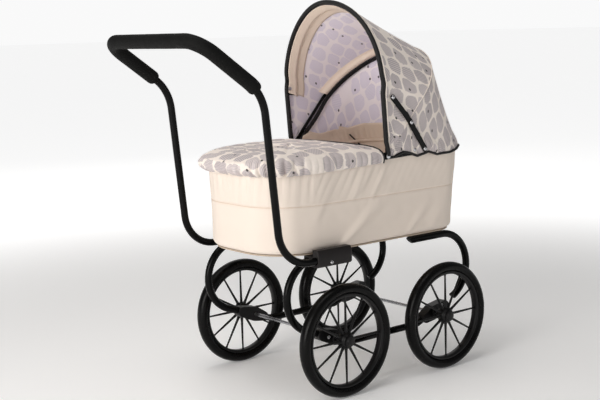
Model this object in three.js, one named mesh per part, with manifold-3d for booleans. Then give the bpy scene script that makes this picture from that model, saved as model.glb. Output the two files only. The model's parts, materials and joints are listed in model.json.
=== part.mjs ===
// A retro doll's pram: a tubular C-frame chassis on four spoked wheels, a fabric carrycot with
// an apron over its foot half, and a folding hood on two bows held up by jointed stays.
// Millimetres, +Z up, +X towards the hood end, -Y the near side. The shapes are drawn about a
// point on the ground midway between the axles, and the outer group moves that point so that
// the origin is at the bottom centre of the whole pram.
import * as THREE from 'three';
import { mergeVertices } from 'three/addons/utils/BufferGeometryUtils.js';
import Module from 'manifold-3d';

const wasm = await Module();
wasm.setup();

// ---- driving dimensions ----
const ORIGIN_SHIFT = 86.55;         // moves the midpoint of the axles to the frame's own origin
const GAP = 0.3;                    // clearance between touching pieces
const SIDES = { near: -1, far: 1 };

const WHEEL = {
  radius: 95, base: 233.5, track: 290.6, steps: 28, spokes: 12,
  tyre: { height: 8.5, width: 11 },   // half the tyre's section each way
  rim: { thick: 3.2, half: 5 },
  hub: { radius: 13.5, inner: 14, outer: 9 },
};
const AXLE_RADIUS = 3;
const AXLES = { rear: -WHEEL.base / 2, front: WHEEL.base / 2 };

const TUBE = { handle: 6.25, frame: 6.5, rail: 6, sides: 10 };
const GRIP = { radius: 11.5, near: 379, far: 398 };   // bare tube below the grip on each side
const HANDLE_PLANE = 132;           // distance of the handle tube from the middle plane
const FRAME_PLANE = 110.8;          // distance of the C tubes and rails from the middle plane
const FRAME_TOP = 232.4;            // height of the C tubes' upper runs
const C_TUBE = { radius: 61.6, turn: 161.8, rear: 148.5, front: 145.5, drop: [127.5, 98] };
const RAIL_HEIGHT = 79;

const BOARD = { low: 239.2, high: 241.8 };
const BODY = { foot: -233, head: 203, half: 122.5, footCorner: 90, headCorner: 55, floor: 242.1 };
const BODY_WALL = 2.5;
const BODY_TAPER = { side: 4, head: 11 };   // how much narrower the body is at its floor
const RIM = { foot: 375, head: 386 };
const MATTRESS = { low: 245, high: 257 };
const APRON_EDGE = -8;              // where the apron's piped edge crosses the pram

const PIVOT = { x: 0, z: 387 };     // the hood's pivot on each side of the rim
const BOW = {
  half: 128, straight: 113, rise: 146, middleRise: 123, rod: 2.8, frontLean: 94, middleLean: 48,
};
const HOOD_CLOTH = 2.4;
const STAY = { top: [8, 485], middle: [50, 440], bottom: [84, 392], spare: [62, 392] };
// layers of flat iron beside the rim, as distances from the middle plane
const LAYER = {
  plate: [123, 124.8],
  lug: [124.9, 126.4],
  middleEye: [125.2, 127.2],
  frontEye: [127.6, 129.6],
  lowerStay: [131.8, 133.4],
  upperStay: [133.9, 135.5],
};

// ---- finishes ----
const finish = (color, roughness, metalness) =>
  new THREE.MeshStandardMaterial({ color, roughness, metalness });
const GLOSS_BLACK = finish(0x0b0b0d, 0.2, 0.4);
const TYRE_BLACK = finish(0x0e0e10, 0.3, 0);
const PLASTIC_BLACK = finish(0x17171a, 0.45, 0);
const FOAM_BLACK = finish(0x121212, 0.9, 0);
const STEEL = finish(0xb8b8bc, 0.3, 1);
const CREAM = finish(0xefe2d3, 0.9, 0);
const PRINT = finish(0xd8d2cc, 0.9, 0);
const BOARD_PALE = finish(0xd9cfc0, 0.8, 0);

// ---- the scene ----
const pram = new THREE.Group();
pram.position.x = ORIGIN_SHIFT;

/** Adds one named piece. */
function piece(name, geometry, material) {
  const mesh = new THREE.Mesh(geometry, material);
  mesh.name = name;
  pram.add(mesh);
  return mesh;
}

// ---- joining and cutting ----

/** A three.js geometry as a solid that can be cut or joined. */
function toSolid(geometry) {
  const bare = geometry.index ? geometry.toNonIndexed() : geometry.clone();
  bare.deleteAttribute('normal');
  bare.deleteAttribute('uv');
  const merged = mergeVertices(bare, 1e-4);
  return new wasm.Manifold(new wasm.Mesh({
    numProp: 3,
    vertProperties: new Float32Array(merged.attributes.position.array),
    triVerts: new Uint32Array(merged.index.array),
  }));
}

/** A solid back as a three.js geometry. */
function toGeometry(solid) {
  const mesh = solid.getMesh();
  const geometry = new THREE.BufferGeometry();
  geometry.setAttribute('position', new THREE.BufferAttribute(new Float32Array(mesh.vertProperties), 3));
  geometry.setIndex(new THREE.BufferAttribute(new Uint32Array(mesh.triVerts), 1));
  return geometry;
}

/** The first geometry with the others joined to it. */
const joined = (first, ...others) =>
  toGeometry(others.reduce((all, other) => all.add(toSolid(other)), toSolid(first)));

/** The first geometry with the others cut away from it. */
const cut = (first, ...others) =>
  toGeometry(others.reduce((rest, other) => rest.subtract(toSolid(other)), toSolid(first)));

// ---- shapes ----

const onSide = (x, side, plane, z) => new THREE.Vector3(x, side * plane, z);

/** Points on an arc in an upright plane beside the pram, angles in degrees from +X. */
function arc(centre, radius, from, to, steps, side, plane) {
  return Array.from({ length: steps + 1 }, (_, i) => {
    const angle = THREE.MathUtils.degToRad(from + (to - from) * i / steps);
    return onSide(centre[0] + radius * Math.cos(angle), side, plane, centre[1] + radius * Math.sin(angle));
  });
}

/** A bent tube's centre line: corners [x, y, z, bend radius], each bend made of short chords. */
function bent(corners, stepDegrees = 16) {
  const points = [];
  corners.forEach(([x, y, z, radius = 0], i) => {
    const corner = new THREE.Vector3(x, y, z);
    if (!radius || i === 0 || i === corners.length - 1) {
      points.push(corner);
      return;
    }
    const back = new THREE.Vector3(...corners[i - 1]).sub(corner).normalize();
    const ahead = new THREE.Vector3(...corners[i + 1]).sub(corner).normalize();
    const turn = Math.PI - back.angleTo(ahead);
    const reach = radius * Math.tan(turn / 2);
    const start = corner.clone().addScaledVector(back, reach);
    const centre = corner.clone().addScaledVector(
      back.clone().add(ahead).normalize(), radius / Math.cos(turn / 2));
    const axis = new THREE.Vector3().crossVectors(back, ahead).normalize().negate();
    const arm = start.clone().sub(centre);
    const steps = Math.max(2, Math.ceil(THREE.MathUtils.radToDeg(turn) / stepDegrees));
    for (let k = 0; k <= steps; k += 1) {
      points.push(centre.clone().add(arm.clone().applyAxisAngle(axis, turn * k / steps)));
    }
  });
  return points;
}

/** A path through given points, with one sweep step at each of them. */
class Route extends THREE.Curve {
  constructor(points) {
    super();
    this.points = points;
  }

  getUtoTmapping(u) {
    return u;
  }

  getPoint(t, target = new THREE.Vector3()) {
    const place = t * (this.points.length - 1);
    const index = Math.min(Math.floor(place), this.points.length - 2);
    return target.lerpVectors(this.points[index], this.points[index + 1], place - index);
  }
}

/** A round rod or tube along points; a bore makes it hollow. */
function rod(points, radius, bore = 0, sides = TUBE.sides) {
  const section = new THREE.Shape().absarc(0, 0, radius, 0, 2 * Math.PI);
  if (bore) section.holes.push(new THREE.Path().absarc(0, 0, bore, 0, 2 * Math.PI));
  return new THREE.ExtrudeGeometry(section, {
    steps: points.length - 1, extrudePath: new Route(points), curveSegments: sides / 2,
  });
}

/** A flat plate standing in an upright plane beside the pram, between two distances from it. */
function plate(outline, [inner, outer], side) {
  const geometry = new THREE.ExtrudeGeometry(outline, {
    depth: outer - inner, bevelEnabled: false, curveSegments: 5,
  });
  const turn = new THREE.Matrix4().makeBasis(
    new THREE.Vector3(1, 0, 0), new THREE.Vector3(0, 0, 1), new THREE.Vector3(0, -1, 0));
  geometry.applyMatrix4(turn);
  geometry.translate(0, side > 0 ? outer : -inner, 0);
  return geometry;
}

/** The outline stretched tight round circles [x, z, radius], going round once. */
function tightOutline(circles, steps = 12) {
  const points = circles.flatMap(([x, z, radius]) => Array.from({ length: steps }, (_, i) => {
    const angle = 2 * Math.PI * i / steps;
    return new THREE.Vector2(x + radius * Math.cos(angle), z + radius * Math.sin(angle));
  })).sort((a, b) => a.x - b.x || a.y - b.y);
  const half = (list) => list.reduce((chain, point) => {
    while (chain.length > 1) {
      const a = chain[chain.length - 2];
      const b = chain[chain.length - 1];
      if ((b.x - a.x) * (point.y - a.y) - (b.y - a.y) * (point.x - a.x) > 1e-6) break;
      chain.pop();
    }
    return [...chain, point];
  }, []);
  const lower = half(points);
  const upper = half([...points].reverse());
  return new THREE.Shape([...lower.slice(0, -1), ...upper.slice(0, -1)]);
}

/** A flat bar with round ends and a hole at each named place. */
function bar(ends, width, layer, side, holes = [], bore = 2.3) {
  const outline = tightOutline(ends.map(([x, z]) => [x, z, width / 2]));
  holes.forEach(([x, z]) => outline.holes.push(new THREE.Path().absarc(x, z, bore, 0, 2 * Math.PI)));
  return plate(outline, layer, side);
}

/** A turned piece whose axis lies across the pram; profile points are [radius, distance out]. */
function turned(profile, x, z, side, steps = 16) {
  const geometry = new THREE.LatheGeometry(profile.map(([r, out]) => new THREE.Vector2(r, out)), steps);
  if (side < 0) geometry.rotateX(Math.PI);
  geometry.translate(x, 0, z);
  return geometry;
}

/** A rivet or pin: a shank between two distances from the middle plane, with a domed head. */
function rivet(x, z, side, from, to, shank = 2, head = 3.6) {
  return turned([
    [0, from], [shank, from], [shank, to], [head, to], [head, to + 0.8], [head * 0.6, to + 1.9],
    [0, to + 2.1],
  ], x, z, side, 8);
}

/** A closed body through stacked rings of points, capped at both ends. */
function loft(rings) {
  const count = rings[0].length;
  const points = rings.flat();
  const middle = (ring) => ring.reduce((sum, p) => sum.clone().add(p), new THREE.Vector3())
    .divideScalar(ring.length);
  const first = points.push(middle(rings[0])) - 1;
  const last = points.push(middle(rings[rings.length - 1])) - 1;
  const faces = [];
  for (let i = 0; i < count; i += 1) {
    const next = (i + 1) % count;
    faces.push(first, next, i);
    for (let k = 0; k < rings.length - 1; k += 1) {
      const low = k * count;
      const high = low + count;
      faces.push(low + i, low + next, high + next, low + i, high + next, high + i);
    }
    const top = (rings.length - 1) * count;
    faces.push(last, top + i, top + next);
  }
  const geometry = new THREE.BufferGeometry().setFromPoints(points);
  geometry.setIndex(faces);
  return geometry;
}

/** A thick sheet between an outer and an inner surface, each a function of (u, v) from 0 to 1. */
function sheet(outer, inner, across, along) {
  const rows = (surface) => Array.from({ length: along + 1 }, (_, j) =>
    Array.from({ length: across + 1 }, (_, i) => surface(i / across, j / along)));
  const outside = rows(outer);
  const inside = rows(inner);
  const rings = outside.map((row, j) => [...row, ...[...inside[j]].reverse()]);
  const count = rings[0].length;
  const points = rings.flat();
  const faces = [];
  const quad = (a, b, c, d) => faces.push(a, c, b, a, d, c);
  for (let j = 0; j < along; j += 1) {
    for (let i = 0; i < count; i += 1) {
      const next = (i + 1) % count;
      quad(j * count + i, j * count + next, (j + 1) * count + next, (j + 1) * count + i);
    }
  }
  const last = along * count;
  for (let i = 0; i < across; i += 1) {
    const twin = count - 1 - i;
    quad(i + 1, i, twin, twin - 1);
    quad(last + i, last + i + 1, last + twin - 1, last + twin);
  }
  const geometry = new THREE.BufferGeometry().setFromPoints(points);
  geometry.setIndex(faces);
  return geometry;
}

// ---- the carrycot's outline ----

/** The carrycot's plan at a given height, moved outwards by grow, with extra at the foot end. */
function planRing(z, grow = 0, footExtra = 0, arcSteps = 7) {
  const up = THREE.MathUtils.clamp((z - BODY.floor) / (RIM.head - BODY.floor), 0, 1);
  const half = BODY.half - BODY_TAPER.side * (1 - up) + grow;
  const head = BODY.head - BODY_TAPER.head * (1 - up) + grow;
  const foot = BODY.foot - grow - footExtra;
  const footR = BODY.footCorner + grow;
  const headR = BODY.headCorner + grow;
  const ring = [];
  const corner = (cx, cy, rx, ry, from) => {
    for (let i = 0; i <= arcSteps; i += 1) {
      const angle = THREE.MathUtils.degToRad(from + 90 * i / arcSteps);
      ring.push(new THREE.Vector3(cx + rx * Math.cos(angle), cy + ry * Math.sin(angle), z));
    }
  };
  corner(head - headR, half - headR, headR, headR, 0);
  corner(foot + footR + footExtra, half - footR, footR + footExtra, footR, 90);
  corner(foot + footR + footExtra, footR - half, footR + footExtra, footR, 180);
  corner(head - headR, headR - half, headR, headR, 270);
  return ring;
}

/** A ring tilted to follow the rim, which rises towards the hood. */
function rimRing(grow, drop = 0, footExtra = 0) {
  const slope = (RIM.head - RIM.foot) / (BODY.head - BODY.foot);
  return planRing(RIM.head, grow, footExtra).map((point) => {
    point.z = RIM.foot + slope * (point.x - BODY.foot) - drop;
    return point;
  });
}

// ---- wheels ----

function tyre(x, side) {
  const { radius, steps, tyre: { height, width } } = WHEEL;
  const corners = 8;
  const grow = 1 / Math.cos(Math.PI / corners);
  const profile = Array.from({ length: corners + 1 }, (_, i) => {
    const angle = 2 * Math.PI * (i + 0.5) / corners;
    return [
      radius - height + height * grow * Math.cos(angle), WHEEL.track / 2 + width * grow * Math.sin(angle)];
  });
  const flatScale = 1 / Math.cos(Math.PI / steps);
  const geometry = turned(profile.map(([r, out]) => [r * flatScale, out]), 0, 0, side, steps);
  geometry.rotateY(Math.PI / steps);
  geometry.translate(x, 0, radius);
  return geometry;
}

function spokedRim(x, side) {
  const plane = WHEEL.track / 2;
  const { rim: { thick, half }, hub } = WHEEL;
  const rimOuter = WHEEL.radius - 2 * WHEEL.tyre.height - GAP - 0.8;
  const rimInner = rimOuter - thick;
  const rim = turned([
    [rimInner, plane - half], [rimOuter, plane - half], [rimOuter, plane + half], [rimInner, plane + half],
    [rimInner, plane - half],
  ], 0, 0, side, WHEEL.steps);
  const barrel = turned([
    [AXLE_RADIUS + GAP, plane - hub.inner], [9, plane - hub.inner], [hub.radius, plane - 7],
    [hub.radius, plane + 6], [10.5, plane + hub.outer], [AXLE_RADIUS + GAP, plane + hub.outer],
    [AXLE_RADIUS + GAP, plane - hub.inner],
  ], 0, 0, side, 16);
  const spokes = Array.from({ length: WHEEL.spokes }, (_, i) => {
    const length = rimInner + 1.5 - (hub.radius - 2);
    const spoke = new THREE.CylinderGeometry(1.3, 2.2, length, 6);
    spoke.rotateX(Math.PI / 2);
    spoke.translate(0, side * plane, hub.radius - 2 + length / 2);
    spoke.rotateY(2 * Math.PI * i / WHEEL.spokes);
    return spoke;
  });
  const wheel = joined(rim, barrel, ...spokes);
  wheel.translate(x, 0, WHEEL.radius);
  return wheel;
}

function hubCap(x, side) {
  const face = WHEEL.track / 2 + 9 + GAP;
  return turned([[0, face], [9.5, face], [9.5, face + 1.8], [6.5, face + 3.2], [0, face + 3.6]],
    x, WHEEL.radius, side, 16);
}

// ---- chassis ----

function axle(x) {
  const half = WHEEL.track / 2 + 8.5;
  const geometry = new THREE.CylinderGeometry(AXLE_RADIUS, AXLE_RADIUS, 2 * half, 12);
  geometry.translate(x, 0, WHEEL.radius);
  return geometry;
}

/** The centre line of a C tube: end 1 is the front one, -1 the rear one. */
function cTubeLine(end, side) {
  const { radius, turn, drop } = C_TUBE;
  const centre = [end * (end > 0 ? C_TUBE.front : C_TUBE.rear), FRAME_TOP - radius];
  const inset = end > 0 ? 63 : 100;
  return [
    onSide(end * inset, side, FRAME_PLANE, FRAME_TOP),
    ...arc(centre, radius, 90, 90 - end * turn, 12, side, FRAME_PLANE),
    onSide(end * drop[0], side, FRAME_PLANE, drop[1]),
  ];
}

const cTube = (end, side, grow = 0) => rod(cTubeLine(end, side), TUBE.frame + grow);

/** The front C tube, whose upper end is cut to a point under the carrycot. */
function frontCTube(side) {
  const wedge = new THREE.BoxGeometry(40, 40, 20);
  wedge.translate(-20, 0, 10);
  wedge.rotateY(THREE.MathUtils.degToRad(48));
  wedge.translate(67, side * FRAME_PLANE, FRAME_TOP - 3);
  return cut(cTube(1, side), wedge);
}

function railLine(side) {
  const y = side * FRAME_PLANE;
  return bent([[-104, y, 90], [-78, y, RAIL_HEIGHT, 34], [78, y, RAIL_HEIGHT, 34], [104, y, 90]]);
}

/** The bracket that clamps a C tube, the lower rail and an axle together. */
function axleBracket(end, side) {
  const outline = tightOutline([
    [end * 143, 103, 9.5], [AXLES.front * end, WHEEL.radius, 13], [end * 97, 87.5, 8.5],
  ]);
  const solid = plate(outline, [FRAME_PLANE - 9, FRAME_PLANE + 9], side);
  const bore = new THREE.CylinderGeometry(AXLE_RADIUS + GAP, AXLE_RADIUS + GAP, 400, 12);
  bore.translate(AXLES.front * end, 0, WHEEL.radius);
  return cut(solid, cTube(end, side, GAP), rod(railLine(side), TUBE.rail + GAP), bore);
}

function handleLine() {
  const route = [
    [-120, FRAME_TOP], [-234.4, FRAME_TOP, 60], [-260, 506, 72], [-375, 590, 35],
  ];
  const half = (side) => route.map(([x, z, bend]) => [x, side * HANDLE_PLANE, z, bend]);
  return [...half(-1), ...half(1).reverse()];
}

const handleTube = (grow = 0) => rod(bent(handleLine()), TUBE.handle + grow);

/** What is left of a path when a length is cut off each end. */
function trimmed(points, fromStart, fromEnd) {
  const cutBack = (list, length) => {
    const step = list[0].distanceTo(list[1]);
    if (step <= length) return cutBack(list.slice(1), length - step);
    return [list[0].clone().lerp(list[1], length / step), ...list.slice(1)];
  };
  return cutBack(cutBack(points, fromStart).reverse(), fromEnd);
}

/** The foam grip, round the crossbar and both arms. */
const handleGrip = () =>
  rod(trimmed(bent(handleLine()), GRIP.near, GRIP.far), GRIP.radius, TUBE.handle + 2 * GAP);

/** The moulded block that joins the handle tube to the rear C tube and cradles the carrycot. */
function topBlock(side) {
  const low = 221.5;
  const seat = BOARD.low - GAP;
  const shape = new THREE.Shape([
    [FRAME_PLANE - 9, low], [HANDLE_PLANE + 8, low], [HANDLE_PLANE + 8, 246], [HANDLE_PLANE + 5, 250],
    [BODY.half + 2, 250], [BODY.half + 2, seat], [FRAME_PLANE - 9, seat],
  ].map(([y, z]) => new THREE.Vector2(side * y, z)));
  const block = new THREE.ExtrudeGeometry(shape, { depth: 72, bevelEnabled: false });
  block.applyMatrix4(new THREE.Matrix4().makeBasis(
    new THREE.Vector3(0, 1, 0), new THREE.Vector3(0, 0, 1), new THREE.Vector3(1, 0, 0)));
  block.translate(-166, 0, 0);
  return cut(block, cTube(-1, side, GAP), handleTube(GAP));
}

/** The screws that hold the blocks and brackets to their tubes: [piece, x, z, distance out]. */
const FRAME_SCREWS = [
  ['block', -138, 228, HANDLE_PLANE + 8],
  ['rear_bracket', -132, 98, FRAME_PLANE + 9],
  ['front_bracket', 133, 106, FRAME_PLANE + 9],
];

function frameScrew(x, z, out, side) {
  const face = out + GAP;
  return turned([
    [0, face], [3, face], [3, face + 0.7], [1.8, face + 1.5], [0, face + 1.7]], x, z, side, 8);
}

// ---- carrycot ----

const baseBoard = () => loft([planRing(BOARD.low, -6), planRing(BOARD.high, -6)]);

function bodyShell() {
  const inner = BODY.floor + BODY_WALL;
  return loft([
    planRing(BODY.floor, -5), planRing(BODY.floor + 6), rimRing(0), rimRing(-BODY_WALL),
    planRing(inner + 4, -BODY_WALL), planRing(inner, -BODY_WALL - 5),
  ]);
}

function rimHoop() {
  const radius = 2;
  const sides = 8;
  const rings = Array.from({ length: sides + 1 }, (_, k) => {
    const angle = 2 * Math.PI * k / sides;
    const ring = rimRing(-BODY_WALL - radius - 2 * GAP + radius * Math.cos(angle), 6);
    ring.forEach((point) => { point.z += radius * Math.sin(angle); });
    return ring;
  });
  const count = rings[0].length;
  const faces = [];
  for (let k = 0; k < sides; k += 1) {
    for (let i = 0; i < count; i += 1) {
      const next = (i + 1) % count;
      const high = ((k + 1) % sides) * count;
      faces.push(k * count + i, k * count + next, high + next, k * count + i, high + next, high + i);
    }
  }
  const geometry = new THREE.BufferGeometry().setFromPoints(rings.slice(0, sides).flat());
  geometry.setIndex(faces);
  return geometry;
}

const mattress = () => loft([
  planRing(MATTRESS.low, -13), planRing(MATTRESS.low + 4, -9), planRing(MATTRESS.high - 4, -9),
  planRing(MATTRESS.high, -14),
]);

/** The apron: a soft cap over the foot half that puffs out past the rim. */
function apron() {
  const cap = (inset, hem) => loft([
    rimRing(3.2 - inset, hem, 3), rimRing(4.5 - inset, -2, 14), rimRing(3 - inset, -12, 17),
    rimRing(-6 - inset, -21 + inset, 10), rimRing(-24 - inset, -27 + inset),
    rimRing(-60 - inset, -30 + inset),
  ]);
  const headHalf = new THREE.BoxGeometry(400, 400, 200);
  headHalf.translate(200 + APRON_EDGE, 0, 400);
  return cut(cap(0, 3), cap(2.6, 6), headHalf);
}

// ---- hood ----

/** Half of a bow's profile: [distance from the middle plane, distance from the pivot]. */
function bowProfile(u, half = BOW.half, rise = BOW.rise) {
  const straight = BOW.straight;
  const start = 34;
  const quarter = 1.5708 * Math.sqrt((half * half + rise * rise) / 2);
  const run = straight - start;
  const distance = (run + quarter) * (1 - Math.abs(2 * u - 1));
  const side = u < 0.5 ? -1 : 1;
  if (distance < run) return [side * half, start + distance];
  const angle = (distance - run) / quarter * Math.PI / 2;
  return [side * half * Math.cos(angle), straight + rise * Math.sin(angle)];
}

/** The point of a bow at angle lean, u running from the near foot over the top to the far one. */
function bowPoint(u, lean, inset = 0) {
  const rise = lean === BOW.middleLean ? BOW.middleRise : BOW.rise;
  const [y, out] = bowProfile(u, BOW.half - inset, rise - inset);
  const angle = THREE.MathUtils.degToRad(lean);
  return new THREE.Vector3(PIVOT.x + out * Math.cos(angle), y, PIVOT.z + out * Math.sin(angle));
}

/** A bow: a bent rod whose feet are flat tongues with an eye for the pivot pin. */
function bow(lean, layer) {
  const steps = 24;
  const line = Array.from({ length: steps + 1 }, (_, i) => bowPoint(i / steps, lean));
  const rodPart = rod(line, BOW.rod, 0, 8);
  const angle = THREE.MathUtils.degToRad(lean);
  const end = [PIVOT.x + 35.5 * Math.cos(angle), PIVOT.z + 35.5 * Math.sin(angle)];
  const feet = Object.values(SIDES).map((side) =>
    bar([[PIVOT.x, PIVOT.z], end], 7, layer, side, [[PIVOT.x, PIVOT.z]], 2.8));
  return joined(rodPart, ...feet);
}

/** The front bow, with a lug welded to each leg where the stay is riveted on. */
function frontBow() {
  const lean = THREE.MathUtils.degToRad(BOW.frontLean);
  const along = STAY.top[1] - PIVOT.z;
  const rodX = PIVOT.x + along / Math.tan(lean);
  const lugs = Object.values(SIDES).map((side) =>
    bar([[rodX, STAY.top[1]], STAY.top], 8, LAYER.lug, side, [STAY.top]));
  return joined(bow(BOW.frontLean, LAYER.frontEye), ...lugs);
}

/** A gore of hood cloth stretched between two edges, kept clear of the rods at both. */
function gore(fromEdge, toEdge, clearFrom, clearTo) {
  const surface = (inset) => (u, v) => {
    const a = fromEdge(u, inset);
    const b = toEdge(u, inset);
    const length = a.distanceTo(b);
    const low = clearFrom / length;
    const high = 1 - clearTo / length;
    return a.clone().lerp(b, low + (high - low) * v);
  };
  return sheet(surface(-HOOD_CLOTH / 2), surface(HOOD_CLOTH / 2), 24, 3);
}

/** Where the hood's lower hem runs round the head end of the rim. */
function hemPoint(u, inset = 0) {
  const half = BOW.half - inset;
  const head = BODY.head + 3.5 - inset;
  const radius = BODY.headCorner + 3.5 - inset;
  const start = 34;
  const side = head - radius - start;
  const turn = radius * Math.PI / 2;
  const back = half - radius;
  const distance = (side + turn + back) * (1 - Math.abs(2 * u - 1));
  const sign = u < 0.5 ? -1 : 1;
  const height = PIVOT.z + 2;
  if (distance < side) return new THREE.Vector3(start + distance, sign * half, height);
  if (distance < side + turn) {
    const angle = (distance - side) / radius;
    return new THREE.Vector3(
      head - radius + radius * Math.sin(angle), sign * (half - radius + radius * Math.cos(angle)), height);
  }
  return new THREE.Vector3(head, sign * (back - (distance - side - turn)), height);
}

function hoodFrontGore() {
  const cloth = gore(
    (u, inset) => bowPoint(u, BOW.frontLean, inset), (u, inset) => bowPoint(u, BOW.middleLean, inset),
    BOW.rod + 1, BOW.rod + 1);
  const holes = Object.values(SIDES).map((side) => rivet(...STAY.top, side, 120, 134, 3.4, 3.4));
  return cut(cloth, ...holes);
}

const hoodRearGore = () => gore(
  (u, inset) => bowPoint(u, BOW.middleLean, inset), hemPoint, BOW.rod + 1, 7);

// ---- stays ----

/** The strip of flat iron on the rim that carries the hood pivot and the stay's foot. */
function rimPlate(side) {
  const holes = [[PIVOT.x, PIVOT.z], STAY.bottom, STAY.spare];
  return bar([[PIVOT.x, PIVOT.z], [STAY.bottom[0] + 8, 390]], 13, LAYER.plate, side, holes, 2.8);
}

/** The lower stay runs on past the middle rivet as a thumb tab. */
function lowerStay(side) {
  const [mx, mz] = STAY.middle;
  const [bx, bz] = STAY.bottom;
  const tab = [mx + (mx - bx) * 0.3, mz + (mz - bz) * 0.3];
  return bar([STAY.bottom, tab], 10.5, LAYER.lowerStay, side, [STAY.bottom]);
}

const upperStay = (side) =>
  bar([STAY.top, STAY.middle], 9.5, LAYER.upperStay, side, [STAY.top, STAY.middle]);

// ---- assembly ----

piece('handle_tube', handleTube(), GLOSS_BLACK);
piece('handle_grip', handleGrip(), FOAM_BLACK);
piece('base_board', baseBoard(), BOARD_PALE);
piece('body_shell', bodyShell(), CREAM);
piece('rim_hoop', rimHoop(), STEEL);
piece('mattress', mattress(), CREAM);
piece('apron', apron(), PRINT);
piece('front_bow', frontBow(), GLOSS_BLACK);
piece('middle_bow', bow(BOW.middleLean, LAYER.middleEye), GLOSS_BLACK);
piece('hood_front_gore', hoodFrontGore(), PRINT);
piece('hood_rear_gore', hoodRearGore(), PRINT);

for (const [end, x] of Object.entries(AXLES)) piece(`${end}_axle`, axle(x), STEEL);

for (const [name, side] of Object.entries(SIDES)) {
  piece(`rear_c_tube_${name}`, cTube(-1, side), GLOSS_BLACK);
  piece(`front_c_tube_${name}`, frontCTube(side), GLOSS_BLACK);
  piece(`lower_rail_${name}`, rod(railLine(side), TUBE.rail), GLOSS_BLACK);
  piece(`top_block_${name}`, topBlock(side), PLASTIC_BLACK);
  piece(`rear_axle_bracket_${name}`, axleBracket(-1, side), PLASTIC_BLACK);
  piece(`front_axle_bracket_${name}`, axleBracket(1, side), PLASTIC_BLACK);
  FRAME_SCREWS.forEach(([place, x, z, out]) =>
    piece(`${place}_screw_${name}`, frameScrew(x, z, out, side), STEEL));
  piece(`rim_plate_${name}`, rimPlate(side), GLOSS_BLACK);
  piece(`hood_pivot_pin_${name}`,
    rivet(PIVOT.x, PIVOT.z, side, LAYER.plate[0], LAYER.frontEye[1] + GAP, 2.5, 4.2), STEEL);
  piece(`stay_foot_rivet_${name}`,
    rivet(...STAY.bottom, side, LAYER.plate[0], LAYER.lowerStay[1] + GAP, 2, 3.4), STEEL);
  piece(`rim_plate_rivet_${name}`,
    rivet(...STAY.spare, side, LAYER.plate[0], LAYER.frontEye[1] + GAP, 2, 3.4), STEEL);
  piece(`lower_stay_${name}`, lowerStay(side), GLOSS_BLACK);
  piece(`upper_stay_${name}`, upperStay(side), GLOSS_BLACK);
  piece(`stay_middle_rivet_${name}`,
    rivet(...STAY.middle, side, LAYER.upperStay[0], LAYER.upperStay[1] + GAP, 2, 3.4), STEEL);
  piece(`stay_top_rivet_${name}`,
    rivet(...STAY.top, side, LAYER.lug[0], LAYER.upperStay[1] + GAP, 2, 3.4), STEEL);
  for (const [end, x] of Object.entries(AXLES)) {
    piece(`tyre_${end}_${name}`, tyre(x, side), TYRE_BLACK);
    piece(`spoked_wheel_${end}_${name}`, spokedRim(x, side), PLASTIC_BLACK);
    piece(`hub_cap_${end}_${name}`, hubCap(x, side), PLASTIC_BLACK);
  }
}

export default pram;
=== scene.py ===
"""Looks for a retro doll's pram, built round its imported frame.

The frame's axes are kept: +Z up, +X towards the hood end and -Y the near side. Sizes that belong
to one sub-assembly are the fields of its class, in millimetres from the midpoint of the axles.
"""

import json
import logging
import math
from dataclasses import dataclass, field
from enum import Enum
from typing import Callable, Sequence, Union

import bmesh
import bpy
import numpy as np
from mathutils import Matrix, Vector, noise


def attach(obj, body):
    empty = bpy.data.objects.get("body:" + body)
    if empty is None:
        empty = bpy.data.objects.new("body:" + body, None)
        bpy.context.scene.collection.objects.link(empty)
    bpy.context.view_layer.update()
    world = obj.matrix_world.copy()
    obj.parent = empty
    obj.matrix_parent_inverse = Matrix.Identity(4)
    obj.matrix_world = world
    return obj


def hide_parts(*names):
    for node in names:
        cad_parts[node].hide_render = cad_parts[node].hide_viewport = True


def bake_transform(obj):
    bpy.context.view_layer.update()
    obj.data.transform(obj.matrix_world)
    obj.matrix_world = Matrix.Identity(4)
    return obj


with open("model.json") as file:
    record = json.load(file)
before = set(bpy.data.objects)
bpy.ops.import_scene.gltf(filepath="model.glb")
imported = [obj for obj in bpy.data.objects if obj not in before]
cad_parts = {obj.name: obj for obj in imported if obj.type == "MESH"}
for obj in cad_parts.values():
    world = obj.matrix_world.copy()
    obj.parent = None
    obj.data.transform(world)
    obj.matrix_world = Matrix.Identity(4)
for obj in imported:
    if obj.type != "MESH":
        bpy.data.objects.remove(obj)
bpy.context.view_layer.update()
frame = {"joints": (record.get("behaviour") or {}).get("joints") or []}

LOG = logging.getLogger("pram")
MM = 0.001
JOINTS = {joint["name"]: joint for joint in frame["joints"]}
MIDDLE_X = (JOINTS["wheel_front_near_spin"]["pos_m"][0] + JOINTS["wheel_rear_near_spin"]["pos_m"][0]) / 2


class Side(Enum):
    """The two sides of the pram; the value is the sign of Y."""

    NEAR = -1
    FAR = 1

    @property
    def tag(self) -> str:
        """The side's word in node and body names."""
        return self.name.lower()


class End(Enum):
    """The two ends of the pram; the value is the sign of X."""

    REAR = -1
    FRONT = 1

    @property
    def tag(self) -> str:
        """The end's word in node and body names."""
        return self.name.lower()


def place(x: float, y: float, z: float) -> Vector:
    """A point in the frame from millimetres about the midpoint between the axles."""
    return Vector((MIDDLE_X + x * MM, y * MM, z * MM))


def ease(value: float, low: float, high: float) -> float:
    """A smooth step from 0 at low to 1 at high."""
    share = min(1.0, max(0.0, (value - low) / (high - low)))
    return share * share * (3 - 2 * share)


def wander(*where: float) -> float:
    """Soft noise between about -1 and 1 at a place."""
    return noise.noise(Vector((*where, 0.37, 0.71)[:3]))


def crease(value: float) -> float:
    """A repeating gather from -1 in its narrow valley to 1 on its broad ridge."""
    return 1 - 2 * (1 - abs(math.sin(value / 2))) ** 1.6


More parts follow.
